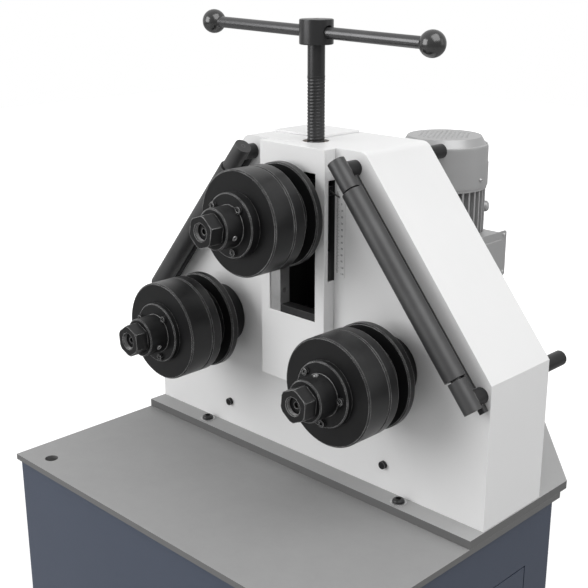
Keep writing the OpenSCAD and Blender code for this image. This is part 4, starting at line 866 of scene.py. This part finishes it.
def addGuideEnds(s):
    span = math.dist(s["upper"], s["lower"])
    shape = bmesh.new()
    for side in (-1, 1):
        for end in (-1, 1):
            place = alongGuide(side, s) @ Matrix.Translation((0, 0, end * (span / 2 + s["past"])))
            if end < 0:
                place = place @ Matrix.Rotation(math.pi, 4, "X")
            addRings(shape, place, [(-0.3, 0), (0.12, s["hole"] + 1.2), (0.14, s["hole"]), (0.05, 0)], 32)
    addPiece("guideEndHoleShades", shape, "oiledSteel", "machine")


addGuideEnds(guideSettings)
print("guide ends made")


# Motor: cover screws, lid screws, lifting lug

motorSettings = {"x": 63.0, "y": 281.0, "radius": 76.0, "shoulder": 13.5, "shoulderDrop": 13.0, "rim": 3.5,
                 "rimLow": 10.0, "coverScrew": (3.6, 3.0), "lidScrew": (3.0, 2.6), "lugRoot": 60.0, "lugFace": 80.5,
                 "lugSocket": (3.5, 6.5), "screwHeight": 450.4, "screwAngles": (2.0, 92.0, 182.0, 272.0),
                 "lugAngle": 37.0, "lugLow": 388.0, "lugHigh": 407.0, "lidX": 169.0,
                 "lidScrews": [(322, 355), (322, 289.5), (254, 355), (254, 289.5)]}


def addMotorParts(s):
    screws = bmesh.new()
    for angle in s["screwAngles"]:
        turn = Matrix.Rotation(math.radians(angle), 4, "Z") @ toRight
        place = Matrix.Translation((s["x"], s["y"], baseTop + s["screwHeight"])) @ turn
        addPanScrew(screws, place @ Matrix.Translation((0, 0, s["radius"] - 0.3)), *s["coverScrew"])
    for y, z in s["lidScrews"]:
        addPanScrew(screws, spot(s["lidX"] - 3.0, y, z, toRight), *s["lidScrew"])
    addPiece("motorScrews", screws, "zincSteel", "machine")
    lug = bmesh.new()
    turn = Matrix.Rotation(math.radians(s["lugAngle"]), 4, "Z") @ toRight
    middle = (s["lugLow"] + s["lugHigh"]) / 2
    place = Matrix.Translation((s["x"], s["y"], baseTop + middle)) @ turn
    high = (s["lugHigh"] - s["lugLow"]) / 2
    root, face = s["lugRoot"], s["lugFace"]
    socket, deep = s["lugSocket"]
    addRings(lug, place, [(root, 0), (root, high), (face - 4, high), (face - 1, high - 2.5), (face, high - 5),
                          (face, socket), (face - deep, socket), (face - deep, 0)], 32)
    addPiece("motorLug", lug, "motor_paint", "machine")


# The pressed cover has a wide sloping shoulder round its grille
def addFanCover(s):
    work = weldedCopy("fan_cover")
    mesh = work.data.copy()
    bpy.data.objects.remove(work, do_unlink=True)
    top = max(vertex.co.z for vertex in mesh.vertices)
    middle = Vector((s["x"] * mm, s["y"] * mm))
    edge = (s["radius"] - s["shoulder"]) * mm
    for vertex in mesh.vertices:
        away = Vector((vertex.co.x, vertex.co.y)) - middle
        if vertex.co.z > top - s["rim"] * mm and away.length > edge:
            vertex.co.x, vertex.co.y = middle + away * (edge / away.length)
        elif top - s["rimLow"] * mm < vertex.co.z < top - s["rim"] * mm and away.length > edge + 4 * mm:
            vertex.co.z = min(vertex.co.z, top - s["shoulderDrop"] * mm)
    addObject("fanCoverPressed", mesh, "motor_paint", "machine", ("fan_cover",), 0.5)


addMotorParts(motorSettings)
addFanCover(motorSettings)
print("motor parts made")


def dress(name, node):
    node.data.materials.clear()
    node.data.materials.append(finishes[special.get(name, slots.get(name, "black_steel"))])
    roundEdges(node, bevelWidths.get(name, 0.5))


for name, node in nodes.items():
    dress(name, node)
print("solids dressed")


# Light, floor, backdrop

lightSettings = {
    "roomDark": 0.38,
    "roomBright": 0.82,
    "brightSide": (-0.75, 0.35, 0.56),
    "lamps": [
        # place, size, watts, shade
        ((1.56, -0.3, 3.15), (2.4, 2.4), 47.0, (1.0, 1.0, 1.0)),
        ((-1.5, -3.0, 2.1), (2.4, 2.4), 66.0, (1.0, 1.0, 1.0)),
        ((2.6, 1.8, 1.9), (1.2, 2.0), 4.0, (1.0, 1.0, 1.0)),
    ],
    "aim": (0.0, -0.05, 0.95),
}


def addLights(s):
    for number, (place, size, watts, shade) in enumerate(s["lamps"]):
        data = bpy.data.lights.new("softbox%d" % number, "AREA")
        data.shape = "RECTANGLE"
        data.size, data.size_y = size
        data.energy = watts
        data.color = shade
        lamp = bpy.data.objects.new(data.name, data)
        bpy.context.scene.collection.objects.link(lamp)
        lamp.location = place
        lamp.rotation_euler = (Vector(s["aim"]) - Vector(place)).to_track_quat("-Z", "Y").to_euler()
    world = bpy.data.worlds.new("studio")
    bpy.context.scene.world = world
    world.use_nodes = True
    tree = world.node_tree
    tree.nodes.clear()
    out = addNode(tree, "ShaderNodeOutputWorld")
    seen = addNode(tree, "ShaderNodeBackground")
    seen.inputs["Strength"].default_value = 1.0
    seen.inputs["Color"].default_value = (1, 1, 1, 1)
    # The room lights the object: white behind and above it, darker on the photographer's side
    lit = addNode(tree, "ShaderNodeBackground")
    lit.inputs["Color"].default_value = (1, 1, 1, 1)
    where = addNode(tree, "ShaderNodeTexCoord")
    toward = addNode(tree, "ShaderNodeVectorMath", operation="DOT_PRODUCT")
    link(tree, where.outputs["Generated"], toward.inputs[0])
    toward.inputs[1].default_value = s["brightSide"]
    link(tree, scaleRange(tree, toward.outputs["Value"], -0.7, 0.8, s["roomDark"], s["roomBright"]),
         lit.inputs["Strength"])
    mix = addNode(tree, "ShaderNodeMixShader")
    path = addNode(tree, "ShaderNodeLightPath")
    link(tree, path.outputs["Is Camera Ray"], mix.inputs["Fac"])
    link(tree, lit.outputs[0], mix.inputs[1])
    link(tree, seen.outputs[0], mix.inputs[2])
    link(tree, mix.outputs[0], out.inputs["Surface"])


def addFloor():
    mesh = bpy.data.meshes.new("studioFloor")
    shape = bmesh.new()
    bmesh.ops.create_grid(shape, x_segments=8, y_segments=8, size=9.0)
    shape.to_mesh(mesh)
    shape.free()
    floor = bpy.data.objects.new("studioFloor", mesh)
    bpy.context.scene.collection.objects.link(floor)
    material, tree, surface = startMaterial("studioFloor")
    surface.inputs["Base Color"].default_value = (0.46, 0.46, 0.46, 1)
    surface.inputs["Roughness"].default_value = 0.7
    surface.inputs["Emission Color"].default_value = (1, 1, 1, 1)
    # Only the floor round the machine keeps its shade, further out it is as white as the backdrop
    where = addNode(tree, "ShaderNodeTexCoord")
    away = addNode(tree, "ShaderNodeVectorMath", operation="LENGTH")
    link(tree, where.outputs["Object"], away.inputs[0])
    level = scaleRange(tree, away.outputs["Value"], 1.2, 3.0, 0.6, 1.0)
    path = addNode(tree, "ShaderNodeLightPath")
    glow = combine(tree, "MULTIPLY", path.outputs["Is Camera Ray"], level)
    link(tree, glow, surface.inputs["Emission Strength"])
    mesh.materials.append(material)
    floor.location.z = -0.0005


addLights(lightSettings)
addFloor()
print("studio lit")

bpy.context.scene.view_settings.view_transform = "Standard"
bpy.context.view_layer.update()
